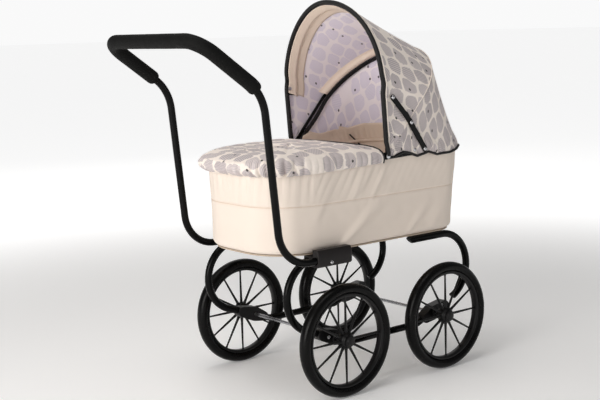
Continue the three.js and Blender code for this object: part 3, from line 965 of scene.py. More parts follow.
    def build_block(self, side: Side) -> None:
        """The moulded block that joins the handle to the rear C tube under the carrycot.

        Args:
            side: Which side of the pram it is on.
        """
        low, seat, lip = 221.5, 238.9, 250.0
        inner, outer, wall = self.frame_plane - 9, self.handle_plane + 8, 124.5
        section = [
            (inner, low), (outer - 3, low), (outer, low + 3), (outer, lip - 5), (outer - 3.5, lip),
            (wall + 1, lip), (wall, lip - 1), (wall, seat), (inner, seat)]
        stations = [(-166, 0.9), (-165, 0), (-95, 0), (-94, 0.9)]
        count = len(section)
        centre = (sum(y for y, _ in section) / count, sum(z for _, z in section) / count)
        block = stacked([
            [place(x, side.value * (y + shrink * np.sign(centre[0] - y)),
                   z + shrink * np.sign(centre[1] - z)) for y, z in section]
            for x, shrink in stations])
        dress(make_piece(f"handle_block_{side.tag}", block, GREY_PLASTIC, bevel=0.8), "chassis",
              "black_plastic", f"top_block_{side.tag}")
        self.build_screw(f"handle_block_screw_{side.tag}", -138, 228, outer, side, f"block_screw_{side.tag}")

    def build_screw(self, name: str, x: float, z: float, face: float, side: Side, node: str) -> None:
        """A round-headed screw with a crossed recess.

        Args:
            name: The piece's name.
            x: Its place along the pram.
            z: Its height.
            face: Distance of the face that it sits on from the middle plane.
            side: Which side it is on.
            node: The node that it stands for.
        """
        profile = [(0, 0), (3.0, 0), (3.1, 0.4), (2.9, 0.9), (2.4, 1.3), (1.8, 1.6), (1.2, 1.75), (0.5, 1.8),
                   (0, 1.8)]
        head = turned([(r, face + out) for r, out in profile], x, z, side, 32)
        rows = len(profile)
        for number, point in enumerate(head.points):
            step, row = divmod(number, rows)
            across = abs(math.sin(2 * math.pi * step / 32 * 2))
            if row >= 5 and (across < 0.5 or row >= 7):
                point.y -= side.value * 0.8 * MM
        dress(make_piece(name, head, STEEL), "chassis", "steel", node)


# ---------------------------------------------------------------- the carrycot


@dataclass(frozen=True)
class Plan:
    """The carrycot's outline seen from above, and the height of its rim."""

    foot: float = -233.0
    head: float = 203.0
    half: float = 122.5
    foot_corner: float = 90.0
    head_corner: float = 55.0
    floor: float = 242.1
    side_taper: float = 4.0
    head_taper: float = 11.0
    rim_foot: float = 375.0
    rim_head: float = 386.0

    def rim(self, x: float) -> float:
        """The height of the rim at a place along the pram."""
        return self.rim_foot + (self.rim_head - self.rim_foot) * (x - self.foot) / (self.head - self.foot)

    def ring(self, height: float, grow: float = 0.0, count: int = 361) -> np.ndarray:
        """The outline at a height, evenly spaced, from the middle of the head end by the far side.

        Args:
            height: Height above the ground.
            grow: How far it is moved outwards.
            count: How many points it has; the last is the first again.

        Returns:
            The x and y of its points.
        """
        up = min(1.0, max(0.0, (height - self.floor) / (self.rim_head - self.floor)))
        half = self.half - self.side_taper * (1 - up) + grow
        head = self.head - self.head_taper * (1 - up) + grow
        foot = self.foot - grow
        points = [(head, 0.0)]
        for way, corner, y_sign, start in (
                (head, self.head_corner + grow, 1, 0), (foot, self.foot_corner + grow, 1, 90),
                (foot, self.foot_corner + grow, -1, 180), (head, self.head_corner + grow, -1, 270)):
            x_sign = 1 if way == head else -1
            for angle in np.radians(np.linspace(start, start + 90, 40)):
                points.append((way - x_sign * corner + corner * math.cos(angle),
                               y_sign * (half - corner) + corner * math.sin(angle)))
        points.append((head, 0.0))
        return spaced(np.array(points), count)


@dataclass(frozen=True)
class Fold:
    """A fold in the side of the carrycot, as a ridge with a valley on one hand."""

    start: tuple
    end: tuple
    width: float
    height: float
    fullness: float = 1.35

    def rise(self, x: float, z: float) -> float:
        """How far the cloth stands out at a place on the side.

        Args:
            x: Place along the pram.
            z: Height.

        Returns:
            The distance outwards in millimetres.
        """
        dx, dz = self.end[0] - self.start[0], self.end[1] - self.start[1]
        length = math.hypot(dx, dz)
        along = ((x - self.start[0]) * dx + (z - self.start[1]) * dz) / length
        beside = ((x - self.start[0]) * dz - (z - self.start[1]) * dx) / length
        fade = ease(along, -0.2 * length, 0.15 * length) * ease(along, 1.25 * length, 0.5 * length)
        width = self.width * (0.55 + 0.8 * max(0.0, along / length))
        ridge = math.exp(-(beside / width) ** 2) - 0.75 * math.exp(-((beside - 1.5 * width) / width) ** 2)
        return self.fullness * self.height * fade * ridge


@dataclass
class Carrycot:
    """The fabric carrycot: outer cloth, lining, rim, floor board and mattress."""

    plan: Plan
    bottom_round: float = 10.0
    seam: float = 320.0
    gather: float = 16.5
    board: tuple = ((239.2, -6.8), (239.8, -6), (241.2, -6), (241.8, -6.8))
    slab: tuple = ((245.4, -16), (247, -12.5), (251, -11), (254.5, -12.5), (256.2, -17))
    columns: int = 361
    folds_near: tuple = (
        Fold((-104, 242), (-18, 312), 8.0, 3.4), Fold((-88, 244), (22, 330), 11.0, 2.4),
        Fold((-60, 250), (60, 322), 14.0, 1.4), Fold((52, 248), (104, 296), 8.0, 2.2),
        Fold((-70, 326), (-34, 372), 9.0, 1.6), Fold((-30, 324), (0, 370), 9.0, 2.0),
        Fold((110, 250), (150, 300), 14.0, 1.2), Fold((-150, 300), (-120, 360), 12.0, 1.0))
    folds_far: tuple = (
        Fold((-100, 244), (-30, 306), 9.0, 3.0), Fold((50, 248), (112, 300), 9.0, 2.4),
        Fold((-40, 326), (-8, 370), 9.0, 1.8), Fold((0, 260), (60, 320), 14.0, 1.3))

    def build(self) -> None:
        """Builds the carrycot from the board up."""
        self.build_board()
        self.build_outer()
        self.build_lining()
        self.build_rim()
        self.build_mattress()

    def build_board(self) -> None:
        """The floor board under the cloth."""
        low = self.board[0][0]
        board = stacked([
            [place(x, y, z) for x, y in self.plan.ring(low, grow, 181)[:-1]] for z, grow in self.board])
        dress(make_piece("floor_board", board, BOARD), "chassis", "board", "base_board")

    def puff(self, s: float, x: float, y: float, z: float) -> float:
        """How far the outer cloth stands out at a place.

        Args:
            s: Distance round the outline.
            x: Place along the pram.
            y: Place across it.
            z: Height.

        Returns:
            The distance outwards in millimetres.
        """
        rim = self.plan.rim(x)
        under_apron = ease(x, 30, -20)
        hang = ease(z, 296, rim - 6)
        lean = (rim - z) * (0.55 if -150 < x < 150 else 0.1) * (1 if y < 0 else -1)
        turn = 2 * math.pi * (s + lean) / self.gather + 3.2 * wander(s * 0.021, z * 0.004)
        strength = 0.5 + 0.5 * wander(s * 0.03, 4.1)
        out = hang * (0.5 + 1.3 * under_apron) * (0.35 + strength) * 0.8 * crease(turn)
        out += 1.1 * wander(s * 0.013, z * 0.02, 1.3) + 0.45 * wander(s * 0.05, z * 0.05, 2.9)
        out -= 0.9 * math.exp(-((z - self.seam) / 1.7) ** 2)
        if abs(y) > 0.8 * self.plan.half:
            for fold in self.folds_near if y < 0 else self.folds_far:
                out += fold.rise(x, z)
        return out * ease(z, self.plan.floor, self.plan.floor + 12) * ease(z, rim + 1, rim - 7)

    def rows(self) -> list[tuple[float, float, float]]:
        """The rows of the outer cloth as share of the height, lift in millimetres and grow."""
        bend = self.bottom_round
        rows = [(0.0, 0.0, -26.0)]
        rows += [
            (0.0, bend * (1 - math.cos(a)), bend * (math.sin(a) - 1)) for a in np.linspace(0, math.pi / 2, 7)]
        shares = [*np.arange(0.03, 0.5, 0.03), *np.arange(0.5, 0.6, 0.0085), *np.arange(0.62, 1.0, 0.025)]
        rows += [(share, bend * (1 - share), 0.0) for share in shares]
        return rows + [(1.0, 0.0, 0.0), (1.0, 0.7, -0.5), (1.0, 0.9, -1.4), (1.0, 0.5, -2.4)]

    def build_outer(self) -> None:
        """The outer cloth, gathered under its rim, seamed round its middle and creased where it pulls."""
        grid, flat = [], []
        for share, lift, grow in self.rows():
            level = self.plan.floor + share * (self.plan.rim_head - self.plan.floor) + lift
            ring = self.plan.ring(level, grow, self.columns)
            along = lengths(ring)
            ahead = np.gradient(ring, axis=0)
            ahead /= np.linalg.norm(ahead, axis=1)[:, None]
            row = []
            for (x, y), (ax, ay), s in zip(ring, ahead, along):
                z = self.plan.floor + share * (self.plan.rim(x) - self.plan.floor) + lift
                out = self.puff(s * 1180 / along[-1], x, y, z)
                row.append(place(x + ay * out, y - ax * out, z))
            row[-1] = row[0]
            grid.append(row)
            flat.append([(s * MM, (level - max(0.0, -grow)) * MM) for s in along * 1190 / along[-1]])
        cloth = make_cloth("carrycot_outer_cloth", np.array(grid), np.array(flat), CREAM, 0.9,
                           place(0, 0, 320), smooth=0)
        dress(cloth, "chassis", "cream_cloth", "body_shell")
        # A painted highlight: a lighter rod along the seam stands in for the light caught along the seam's
        # ridge.
        ring = self.plan.ring(self.seam, 0, 241)
        along = lengths(ring) * 1180 / lengths(ring)[-1]
        seam_highlight_path = [
            place(x * 1.0004, y * (1 + (self.puff(s, x, y, self.seam) + 0.15) / 122), self.seam)
            for (x, y), s in zip(ring[:-1], along)]
        thread = make_piece("carrycot_seam_thread", swept(seam_highlight_path, 0.45, 8, True), LINING)
        dress(thread, "chassis", "cream_cloth")

    def build_lining(self) -> None:
        """The lining inside the walls, joined to the cloth over the floor."""
        grid, flat = [], []
        levels = [(1.0, 0.4, 2.6), (1.0, -3, 3.4)]
        levels += [(share, 0.0, 4.0) for share in np.linspace(0.94, 0.08, 26)]
        levels += [(0.0, 4.0, 6.5), (0.0, 2.7, 12.0), (0.0, 2.6, 40.0), (0.0, 2.6, 80.0)]
        down = 0.0
        for number, (share, lift, inset) in enumerate(levels):
            ring = self.plan.ring(self.plan.floor + share * 144, -inset, 241)
            along = lengths(ring)
            row = []
            for (x, y), s in zip(ring, along):
                z = self.plan.floor + share * (self.plan.rim(x) - self.plan.floor) + lift
                soft = 1 + 0.006 * wander(s * 0.03, z * 0.03) * (1 if share else 0)
                row.append(place(x * soft, y * soft, z))
            row[-1] = row[0]
            grid.append(row)
            down += 0.0 if not number else (grid[-1][30] - grid[-2][30]).length
            flat.append([(s * MM, down) for s in along])
        middle = [place(x * 0.02, y * 0.02, self.plan.floor + 2.6) for x, y in self.plan.ring(243, -80, 241)]
        grid.append(middle)
        flat.append([(s * MM, down + 0.04) for s in along])
        cloth = make_cloth("carrycot_lining", np.array(grid), np.array(flat), LINING, 0.7,
                           place(0, 0, 320), smooth=0)
        cloth.modifiers["thickness"].offset = 1
        dress(cloth, "chassis", "cream_cloth")

    def build_rim(self) -> None:
        """The roll of binding round the steel rim hoop."""
        path = [place(x, y, self.plan.rim(x)) for x, y in self.plan.ring(386, -5.0, 241)[:-1]]
        roll = make_piece("rim_roll", swept(path, 3.1, 14, True), LINING)
        dress(roll, "chassis", "cream_cloth", "rim_hoop")

    def build_mattress(self) -> None:
        """The thin mattress, swollen by simulation from a slab that fits the carrycot."""
        slab = stacked([
            [place(x, y, z) for x, y in self.plan.ring(z, grow, 121)[:-1]] for z, grow in self.slab])
        pad = make_piece("sleeping_mattress", slab, PALE, 80)
        swell(pad, voxel=6.0, pressure=2.0, most=3.0)
        dress(pad, "chassis", "mattress_cloth", "mattress")


def swell(pad: bpy.types.Object, voxel: float, pressure: float, most: float) -> None:
    """Swells a pad with a short cloth simulation and smooths the result.

    Args:
        pad: The pad, whose mesh is replaced.
        voxel: Size of the new mesh's faces in millimetres.
        pressure: The pressure inside it.
        most: The furthest that a point may move, in millimetres.
    """
    remesh = pad.modifiers.new("even faces", "REMESH")
    remesh.mode = "VOXEL"
    remesh.voxel_size = voxel * MM
    depsgraph = bpy.context.evaluated_depsgraph_get()
    mesh = bpy.data.meshes.new_from_object(pad.evaluated_get(depsgraph))
    pad.modifiers.clear()
    finish = pad.data.materials[0]
    pad.data = mesh
    mesh.materials.clear()
    mesh.materials.append(finish)
    start = np.array([vertex.co for vertex in mesh.vertices])
    cloth = pad.modifiers.new("filling", "CLOTH")
    cloth.settings.use_pressure = True
    cloth.settings.uniform_pressure_force = pressure
    cloth.settings.effector_weights.gravity = 0
    scene = bpy.context.scene
    for step in range(1, 21):
        scene.frame_set(step)
    swollen = pad.evaluated_get(bpy.context.evaluated_depsgraph_get()).to_mesh()
    end = np.array([vertex.co for vertex in swollen.vertices])
    pad.evaluated_get(bpy.context.evaluated_depsgraph_get()).to_mesh_clear()
    pad.modifiers.clear()
    scene.frame_set(1)
    moved = end - start
    far = np.linalg.norm(moved, axis=1, keepdims=True)
    moved *= np.minimum(1, most * MM / np.maximum(far, 1e-9))
    mesh.vertices.foreach_set("co", (start + moved).astype(np.float32).ravel())
    mesh.shade_smooth()
    layer = mesh.uv_layers.new(name="cloth")
    for loop in mesh.loops:
        x, y, z = mesh.vertices[loop.vertex_index].co
        layer.data[loop.index].uv = (x, y + z)
    rounder = pad.modifiers.new("smoothing", "SUBSURF")
    rounder.levels = rounder.render_levels = 1


# ---------------------------------------------------------------- the apron


@dataclass
class Apron:
    """The printed apron over the foot half, gathered under the rim and piped at its open edge."""

    plan: Plan
    edge: float = -8.0
    columns: int = 421
    gather: float = 13.0
    profile: tuple = (
        (0.0, 3.0, -5.0), (0.012, 3.9, -3.0), (0.05, 5.2, 1.5), (0.12, 5.0, 9.0), (0.20, 1.0, 17.0),
        (0.30, -7.0, 23.5), (0.42, -20.0, 27.5), (0.58, -42.0, 30.0), (0.78, -80.0, 31.0),
        (1.0, -130.0, 31.5))
    foot_extra: tuple = (
        (0.0, 1.0), (0.012, 4.0), (0.05, 11.0), (0.12, 15.0), (0.20, 14.0), (0.30, 9.0), (0.42, 3.0),
        (1.0, 0.0))
    piping: float = 1.5

    def hem(self) -> np.ndarray:
        """The hem's plan from the near pivot round the foot to the far one, evenly spaced."""
        ring = self.plan.ring(self.plan.rim_head, 0, 2001)
        kept = ring[ring[:, 0] <= self.edge]
        return spaced(kept[::-1], self.columns)

    def spot(self, x: float, y: float, s: float, share: float) -> tuple[Vector, tuple[float, float]]:
        """A point of the apron and its place on the flat cloth.

        Args:
            x: Place of the hem below it along the pram.
            y: Place of the hem across it.
            s: Distance along the hem.
            share: From 0 at the hem to 1 at the middle line.

        Returns:
            The point, and its flat place in metres.
        """
        centre = (max(x, self.plan.foot + self.plan.half), 0.0)
        ray = Vector((x - centre[0], y - centre[1]))
        reach = ray.length
        ray.normalize()
        shares, grows, rises = zip(*self.profile)
        grow = float(np.interp(share, shares, grows))
        rise = float(np.interp(share, shares, rises))
        foot = max(0.0, -ray.x)
        out = reach + grow + foot * float(np.interp(share, *zip(*self.foot_extra)))
        tight = 1 - 0.28 * ease(x, self.edge - 55, self.edge)
        level = self.plan.rim(x) + (rise if rise < 0 else rise * tight)
        if out < 0.12 * reach or share == 1.0:
            out = 0.0
        corner = math.exp(-((x + 205) / 26) ** 2) * (1.5 if y < 0 else 1.0)
        hold = ease(share, 0.34, 0.02)
        turn = 2 * math.pi * s / self.gather + 4.5 * wander(s * 0.017, 7.7)
        deep = (1.4 + 0.8 * wander(s * 0.04, 2.2) + 1.5 * corner) * (0.4 + 0.6 * foot + 0.5 * corner)
        fold = hold * deep * crease(turn)
        dent = -7.0 * math.exp(-((s - 262) / 5.0) ** 2) * ease(share, 0.3, 0.06) * (1 if y < 0 else 0)
        soft = 1.6 * wander(x * 0.03, y * 0.03, share) + 0.7 * wander(x * 0.08, y * 0.08, 5.0)
        lifted = ease(share, 0.0, 0.2)
        out += (fold * 1.5 + dent) * (1 - 0.5 * lifted) if out else 0.0
        level += soft * lifted * ease(self.edge - x, 0, 30) + fold * 0.9 * lifted
        across = 1 + 0.16 * foot
        flat = (
            (centre[0] + ray.x * self.flat_reach(share, reach) * across) * MM,
            ray.y * self.flat_reach(share, reach) * MM)
        return place(centre[0] + ray.x * out, ray.y * out, level), flat

    def flat_reach(self, share: float, reach: float) -> float:
        """How far a point is from the middle line on the flat cloth."""
        shares, grows, rises = map(np.array, zip(*self.profile))
        outs = np.maximum(reach + grows, 0.0)
        steps = np.hypot(np.diff(outs), np.diff(rises))
        from_middle = np.concatenate([np.cumsum(steps[::-1])[::-1], [0.0]])
        return float(np.interp(share, shares, from_middle))

    def build(self) -> None:
        """Builds the apron cloth with its piping."""
        hem = self.hem()
        along = lengths(hem)
        shares = [*np.linspace(0, 0.05, 6)[:-1], *np.linspace(0.05, 0.45, 24)[:-1], *np.linspace(0.45, 1, 14)]
        grid, flat = [], []
        for share in shares:
            row = [self.spot(x, y, s, share) for (x, y), s in zip(hem, along)]
            grid.append([point for point, _ in row])
            flat.append([spot for _, spot in row])
        cloth = make_cloth("apron_cloth", np.array(grid), np.array(flat), PRINT, 0.8,
                           place(-120, 0, 300), smooth=1)
        dress(cloth, "chassis", "print_cloth", "apron")
        rim = [row[0] for row in grid] + [row[-1] for row in grid[::-1]][1:]
        lift = Vector((0.6, 0, 0.2)) * MM
        edge = spaced(np.array([tuple(point + lift) for point in rim]), 120)
        piping = make_piece(
            "apron_edge_piping", swept([Vector(point) for point in edge], self.piping, 12), BLACK_CLOTH)
        dress(piping, "chassis", "print_cloth")


# ---------------------------------------------------------------- the hood


@dataclass
class Hood:
    """The folding hood: two bows, the cloth over them and what is sewn to it."""

    plan: Plan
    pivot: tuple = (0.0, 387.0)
    half: float = 128.0
    straight: float = 113.0
    rise: float = 146.0
    middle_rise: float = 123.0
    lopsided: float = 6.0
    rod: float = 2.8
    front_lean: float = 94.0
    middle_lean: float = 48.0
    lowest_lean: float = 4.0
    foot: float = 6.0
    columns: int = 241
    casing_lift: float = 6.2
    casing_fall: dict = field(default_factory=lambda: {94.0: (24, 17), 48.0: (15, 5)})
    snap: tuple = (-6.0, 494.0)
    strap: tuple = ((134.0, 119.5, 399.0), (158.0, 117.5, 378.0))
    hem_near: tuple = (
        (0, 385), (14, 384), (37, 391), (53, 387), (70, 381), (97, 386), (118, 379.5), (150, 380.5),
        (172, 384), (182, 388))
    hem_far: tuple = ((0, 385), (40, 390), (70, 382), (110, 387), (140, 381), (182, 388))

    @property
    def quarter(self) -> float:
        """The length of a bow's curve from its straight leg to its top."""
        return math.pi / 2 * math.sqrt((self.half ** 2 + self.rise ** 2) / 2)

    @property
    def whole(self) -> float:
        """The length of a bow from pivot to pivot."""
        return 2 * (self.straight + self.quarter)

    def bow(self, s: float, lean: float, away: float = 0.0, ahead: float = 0.0) -> Vector:
        """A point on or beside a bow.

        Args:
            s: Distance along the bow from the near pivot.
            lean: The bow's angle from +X, in degrees.
            away: Distance outwards in the bow's own plane.
            ahead: Distance from that plane towards the front of the hood.

        Returns:
            The point.
        """
        side = -1 if s < self.whole / 2 else 1
        reach = min(s, self.whole - s)
        rise = self.middle_rise if lean == self.middle_lean else self.rise
        if reach < self.straight:
            y, out, y_out, up = side * self.half, reach, side, 0.0
        else:
            angle = (reach - self.straight) / self.quarter * math.pi / 2
            y = side * self.half * math.cos(angle) - self.lopsided * math.sin(2 * angle)
            out = self.straight + rise * math.sin(angle)
            y_out, up = side * math.cos(angle) / self.half, math.sin(angle) / rise
            length = math.hypot(y_out, up)
            y_out, up = y_out / length, up / length
        turn = math.radians(lean)
        out += away * up
        return place(
            self.pivot[0] + out * math.cos(turn) - ahead * math.sin(turn), y + away * y_out,
            self.pivot[1] + out * math.sin(turn) + ahead * math.cos(turn))

    def hem(self, s: float, grow: float = 0.0) -> tuple[Vector, Vector]:
        """A point of the lower hem and the way out from it.

        Args:
            s: Distance along the bow above it from the near pivot.
            grow: How far the hem is moved outwards.

        Returns:
            The point and the outward direction.
        """
        corner = self.plan.head_corner + 3.5
        head = self.plan.head + 3.5
        side_run, turn_run = head - corner, corner * math.pi / 2
        back_run = self.half - corner - 1.0
        share = min(s, self.whole - s) / (self.whole / 2)
        reach = share * (side_run + turn_run + back_run)
        sign = -1 if s < self.whole / 2 else 1
        if reach < side_run:
            x, y, out = reach, self.half - 1.0, Vector((0, 1, 0))
        elif reach < side_run + turn_run:
            angle = (reach - side_run) / corner
            x, y = head - corner + corner * math.sin(angle), back_run + corner * math.cos(angle)
            out = Vector((math.sin(angle), math.cos(angle), 0))
        else:
            x, y, out = head, back_run - (reach - side_run - turn_run), Vector((1, 0, 0))
        spots = self.hem_near if sign < 0 else self.hem_far
        level = float(np.interp(reach, *zip(*spots))) + 0.8 * wander(reach * 0.05, sign)
        out.y *= sign
        return place(x, sign * y, level) + out * grow * MM, out

    def front_spot(self, s: float, share: float, inward: float = 0.0) -> Vector:
        """A point of the front gore, share running from the front bow to the middle one.

        Args:
            s: Distance along the bows.
            share: From 0 at the front bow to 1 at the middle one.
            inward: Distance inside the cloth.

        Returns:
            The point.
        """
        reach = min(s, self.whole - s)
        slack = 1.8 * math.sin(math.pi * share) + 0.5 * wander(s * 0.03, share * 1.5, 3.0)
        crumple = ease(reach, 64, 22) * (2.2 * wander(s * 0.09, share * 4.2, 9.0))
        away = self.rod + 0.5 - slack + crumple - inward
        front = self.bow(s, self.front_lean, away, 1.5 + self.kink(s))
        back = self.bow(s, self.middle_lean, away)
        return front.lerp(back, share)

    def kink(self, s: float) -> float:
        """How far the front edge is pulled back just above its straight leg and at its foot."""
        reach = min(s, self.whole - s)
        return -2.6 * math.exp(-((reach - 121) / 11) ** 2) - 2.5 * ease(reach, 26, 4)

    def rear_spot(self, s: float, share: float, inward: float = 0.0) -> Vector:
        """A point of the rear gore, share running from the middle bow to the hem.

        Args:
            s: Distance along the middle bow.
            share: From 0 at the bow to 1 at the hem.
            inward: Distance inside the cloth.

        Returns:
            The point.
        """
        reach = min(s, self.whole - s)
        hem, out = self.hem(s)
        top = self.bow(s, self.middle_lean, self.rod + 0.5)
        length = (hem - top).length / MM
        above = (1 - share) * length
        near = s < self.whole / 2
        pucker = ease(above, 34, 4) * ease(reach, 30, 60) * 0.8 * crease(s / 2.1 + 3 * wander(s * 0.03))
        x = (hem.x - MIDDLE_X) / MM
        full = math.exp(-((x - 112) / 32) ** 2) * (1.0 if near else 0.5) if reach < 190 else 0.25
        puff = full * 5.0 * math.exp(-((above - 15) / 12) ** 2)
        puff *= 1 + 0.35 * crease(s / 1.6 + 2 * wander(s * 0.05, 3.0))
        slack = 2.4 * math.sin(math.pi * share) - 0.7 * wander(s * 0.025, share * 2.0, 6.0)
        crumple = ease(length, 90, 20) * ease(reach, 70, 20) * 2.4 * wander(s * 0.1, share * 3.4, 12.0)
        slack *= ease(length, 20, 120)
        return top.lerp(hem, share) + out * (pucker + puff + crumple - slack - inward) * MM

    def fold_weights(self, piece: bpy.types.Object, bodies: tuple[str, str], low: float, high: float) -> None:
        """Bakes a piece's transform, works out each point's angle about the hood's pivot and reports the two
        bodies; nothing is blended.

        Args:
            piece: The piece.
            bodies: The body at the low angle and the one at the high angle.
            low: Not used.
            high: Not used.
        """
        pivot = place(self.pivot[0], 0, self.pivot[1])
        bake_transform(piece)
        spots = np.array([vertex.co for vertex in piece.data.vertices]) - np.array(pivot)
        angles = np.degrees(np.arctan2(spots[:, 2], spots[:, 0]))
        angles[angles < -90] += 360
        LOG.info("%s between %s and %s", piece.name, *bodies)

    def gore(self, name: str, spot: Callable, rows: Sequence[float], span: tuple[float, float],
             finish: Finish, inside: Finish = None, inward: float = 0.0, thick: float = 0.7,
             columns: int = 0) -> bpy.types.Object:
        """A piece of cloth on one of the hood's surfaces.

        Args:
            name: The piece's name.
            spot: The surface: a point from a distance along and a share across.
            rows: The shares across that the cloth covers.
            span: The first and last distance along.
            finish: What its outer face is.
            inside: What its inner face is.
            inward: Distance inside the hood's cloth.
            thick: Its thickness.
            columns: How many points it has along, if not the hood's own number.

        Returns:
            The new object.
        """
        stations = np.linspace(*span, columns or self.columns)
        grid = np.array([[spot(s, share, inward) for s in stations] for share in rows])
        across = np.array([lengths(column) for column in grid.transpose(1, 0, 2)]).T
        flat = np.stack([np.broadcast_to(stations * MM, across.shape), across], axis=2)
        return make_cloth(name, grid, flat, finish, thick, place(60, 0, 400), inside, smooth=0)

    def build(self) -> None:
        """Builds the bows, then the cloth, then the trims."""
        self.build_bows()
        self.build_cloth()
        self.build_casings()
        self.build_edges()

    def build_bows(self) -> None:
        """The two bent rods, each with a flat eye at each foot."""
        for name, body, lean, layer in (
                ("front_bow", "front_bow", self.front_lean, (127.6, 129.6)),
                ("middle_bow", "middle_bow", self.middle_lean, (125.2, 127.2))):
            path = [self.bow(s, lean) for s in np.linspace(34, self.whole - 34, 140)]
            shape = swept(path, self.rod, 16)
            turn = math.radians(lean)
            tip = (self.pivot[0] + 35.5 * math.cos(turn), self.pivot[1] + 35.5 * math.sin(turn))
            for side in Side:
                outline = tight_outline([(*self.pivot, 4.6), (*tip, 3.2)])
                shape += plate(outline, *layer, side)
                if body == "front_bow":
                    along = 98 / math.tan(turn)
                    shape += plate(tight_outline([(along, 486, 3), (8, 485, 3.6)]), 124.9, 126.4, side)
            dress(make_piece(f"{name}_rod", shape, BLACK_PAINT, bevel=0.25), body, "black_paint", name)

    def build_cloth(self) -> None:
        """The two gores of printed cloth and the skirt that closes the hood inside."""
        span = (self.foot, self.whole - self.foot)
        front = self.gore(
            "hood_front_cloth", self.front_spot, np.linspace(0, 1, 34), span, PRINT, PRINT_INSIDE_PAINTED_LIGHT)
        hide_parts("hood_front_gore")
        self.fold_weights(front, ("middle_bow", "front_bow"), self.middle_lean, self.front_lean)
        rows = [*np.linspace(0, 0.7, 26)[:-1], *np.linspace(0.7, 1, 22)]
        rear = self.gore("hood_rear_cloth", self.rear_spot, rows, span, PRINT, PRINT_INSIDE_PAINTED_LIGHT)
        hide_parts("hood_rear_gore")
        self.fold_weights(rear, ("chassis", "middle_bow"), self.lowest_lean, self.middle_lean)

        def skirt_spot(s: float, share: float, inward: float) -> Vector:
            """A point of the skirt, which stands a set height above the rim."""
            hem = self.hem(s)[0]
            top = self.bow(s, self.middle_lean, self.rod + 0.5)
            length = (hem - top).length / MM
            step = ease((hem.x - MIDDLE_X) / MM, 117, 121)
            height = min(28 + 8 * step, 0.92 * length) * share - 2
            return self.rear_spot(s, 1 - max(0.0, height) / length, inward + 2.0 * (1 - share)) + Vector(
                (0, 0, min(0.0, height) * MM))

        skirt = self.gore("hood_inner_skirt", skirt_spot, np.linspace(0, 1, 10), (16, self.whole - 16),
                          LINING, inward=5.2, thick=0.6)
        self.fold_weights(skirt, ("chassis", "middle_bow"), self.lowest_lean, self.middle_lean)

    def build_casings(self) -> None:
        """The beige casings that hold the bows against the cloth, and the black tapes below them."""

        def beside(lean: float) -> Callable:
            """A surface measured in millimetres from a bow, raised where it passes over the rod."""
            def surface(s: float, width: float, inward: float) -> Vector:
                """A point this many millimetres from the bow."""
                length = (self.front_spot(s, 0.0) - self.front_spot(s, 1.0)).length / MM
                over = self.casing_lift * ease(abs(width), *self.casing_fall[lean])
                share = width / length if lean == self.front_lean else 1 - width / length
                return self.front_spot(s, min(1.0, max(0.0, share)), inward + over)
            return surface

        strips = (
            ("front_casing", self.front_lean, np.linspace(0.5, 27, 14), 100, 1.2, (0.47, 0.034)),
            ("front_casing_facing", self.front_lean, np.linspace(26, 42, 5), 103, 1.5, (0.45, 0.019)),
            ("middle_casing", self.middle_lean, np.linspace(0, 17, 9), 124, 1.2, (0.41, 0.019)))
        for name, lean, widths, start, inward, flat in strips:
            strip = self.gore(name, beside(lean), widths, (start, self.whole - start), CASING,
                              inward=inward, thick=0.6, columns=161)
            self.fold_weights(strip, ("middle_bow", "front_bow"), self.middle_lean, self.front_lean)

        def tape_spot(s: float, ahead: float, inward: float) -> Vector:
            """A point of the black tape, which sags clear of the rod below the casing."""
            reach = min(s, self.whole - s)
            loose = 2.5 * math.sin(math.pi * ease(reach, 18, 128)) * (1 if reach < 128 else 0)
            return self.bow(s, self.middle_lean, -inward, ahead - loose)

        tape = self.gore("middle_bow_tape", tape_spot, np.linspace(-9.5, -1.5, 4), (16, self.whole - 16),
                         BLACK_CLOTH, inward=3.4, thick=1.0, columns=161)
        dress(tape, "middle_bow", "print_cloth")
        for side in Side:
            profile = [(0, 123.6), (2.2, 123.4), (3.1, 123.0), (3.6, 122.2), (3.6, 121.6), (2.4, 121.2),
                       (0, 121.1)]
            snap = make_piece(f"casing_snap_{side.tag}", turned(profile, *self.snap, side, 24), STEEL)
            dress(snap, "front_bow", "steel")
        start, end = (Vector(spot) for spot in self.strap)
        strap = swept([place(*start.lerp(end, t)) for t in np.linspace(0, 1, 12)], 1.4, 10)
        dress(make_piece("hood_wall_strap", strap, BLACK_CLOTH), "chassis", "print_cloth")

    def build_edges(self) -> None:
        """The black binding, the pale strip beside it, the welt over the middle bow and the hem's piping."""
        whole = self.whole
        edge = [self.bow(s, self.front_lean, 0.9 if 20 < s < whole - 20 else 1.6, 1.6 + self.kink(s))
                for s in np.linspace(0, whole, 200)]
        binding = make_piece("hood_front_binding", swept(edge, 3.9, 16), BLACK_CLOTH)
        dress(binding, "front_bow", "print_cloth")
        strip = [self.front_spot(s, 4.8 / max(8.0, min(s, whole - s) * 0.78), -0.5)
                 for s in np.linspace(16, whole - 16, 200)]
        pale = make_piece("hood_front_strip", swept(strip, 1.5, 10), PALE)
        dress(pale, "front_bow", "print_cloth")
        welt = [self.bow(s, self.middle_lean, self.rod + 0.7, 2.2) for s in np.linspace(62, whole - 62, 180)]
        dress(make_piece("middle_bow_welt", swept(welt, 0.75, 8), PALE), "middle_bow", "print_cloth")
        hem = [self.hem(s, 1.2)[0] for s in np.linspace(2, whole - 2, 260)]
        hem = [place(1, -128, 391)] + hem + [place(1, 128, 391)]
        piping = make_piece("hood_hem_piping", swept(hem, 2.3, 12), BLACK_CLOTH)
        dress(piping, "chassis", "print_cloth")


# ---------------------------------------------------------------- the stays


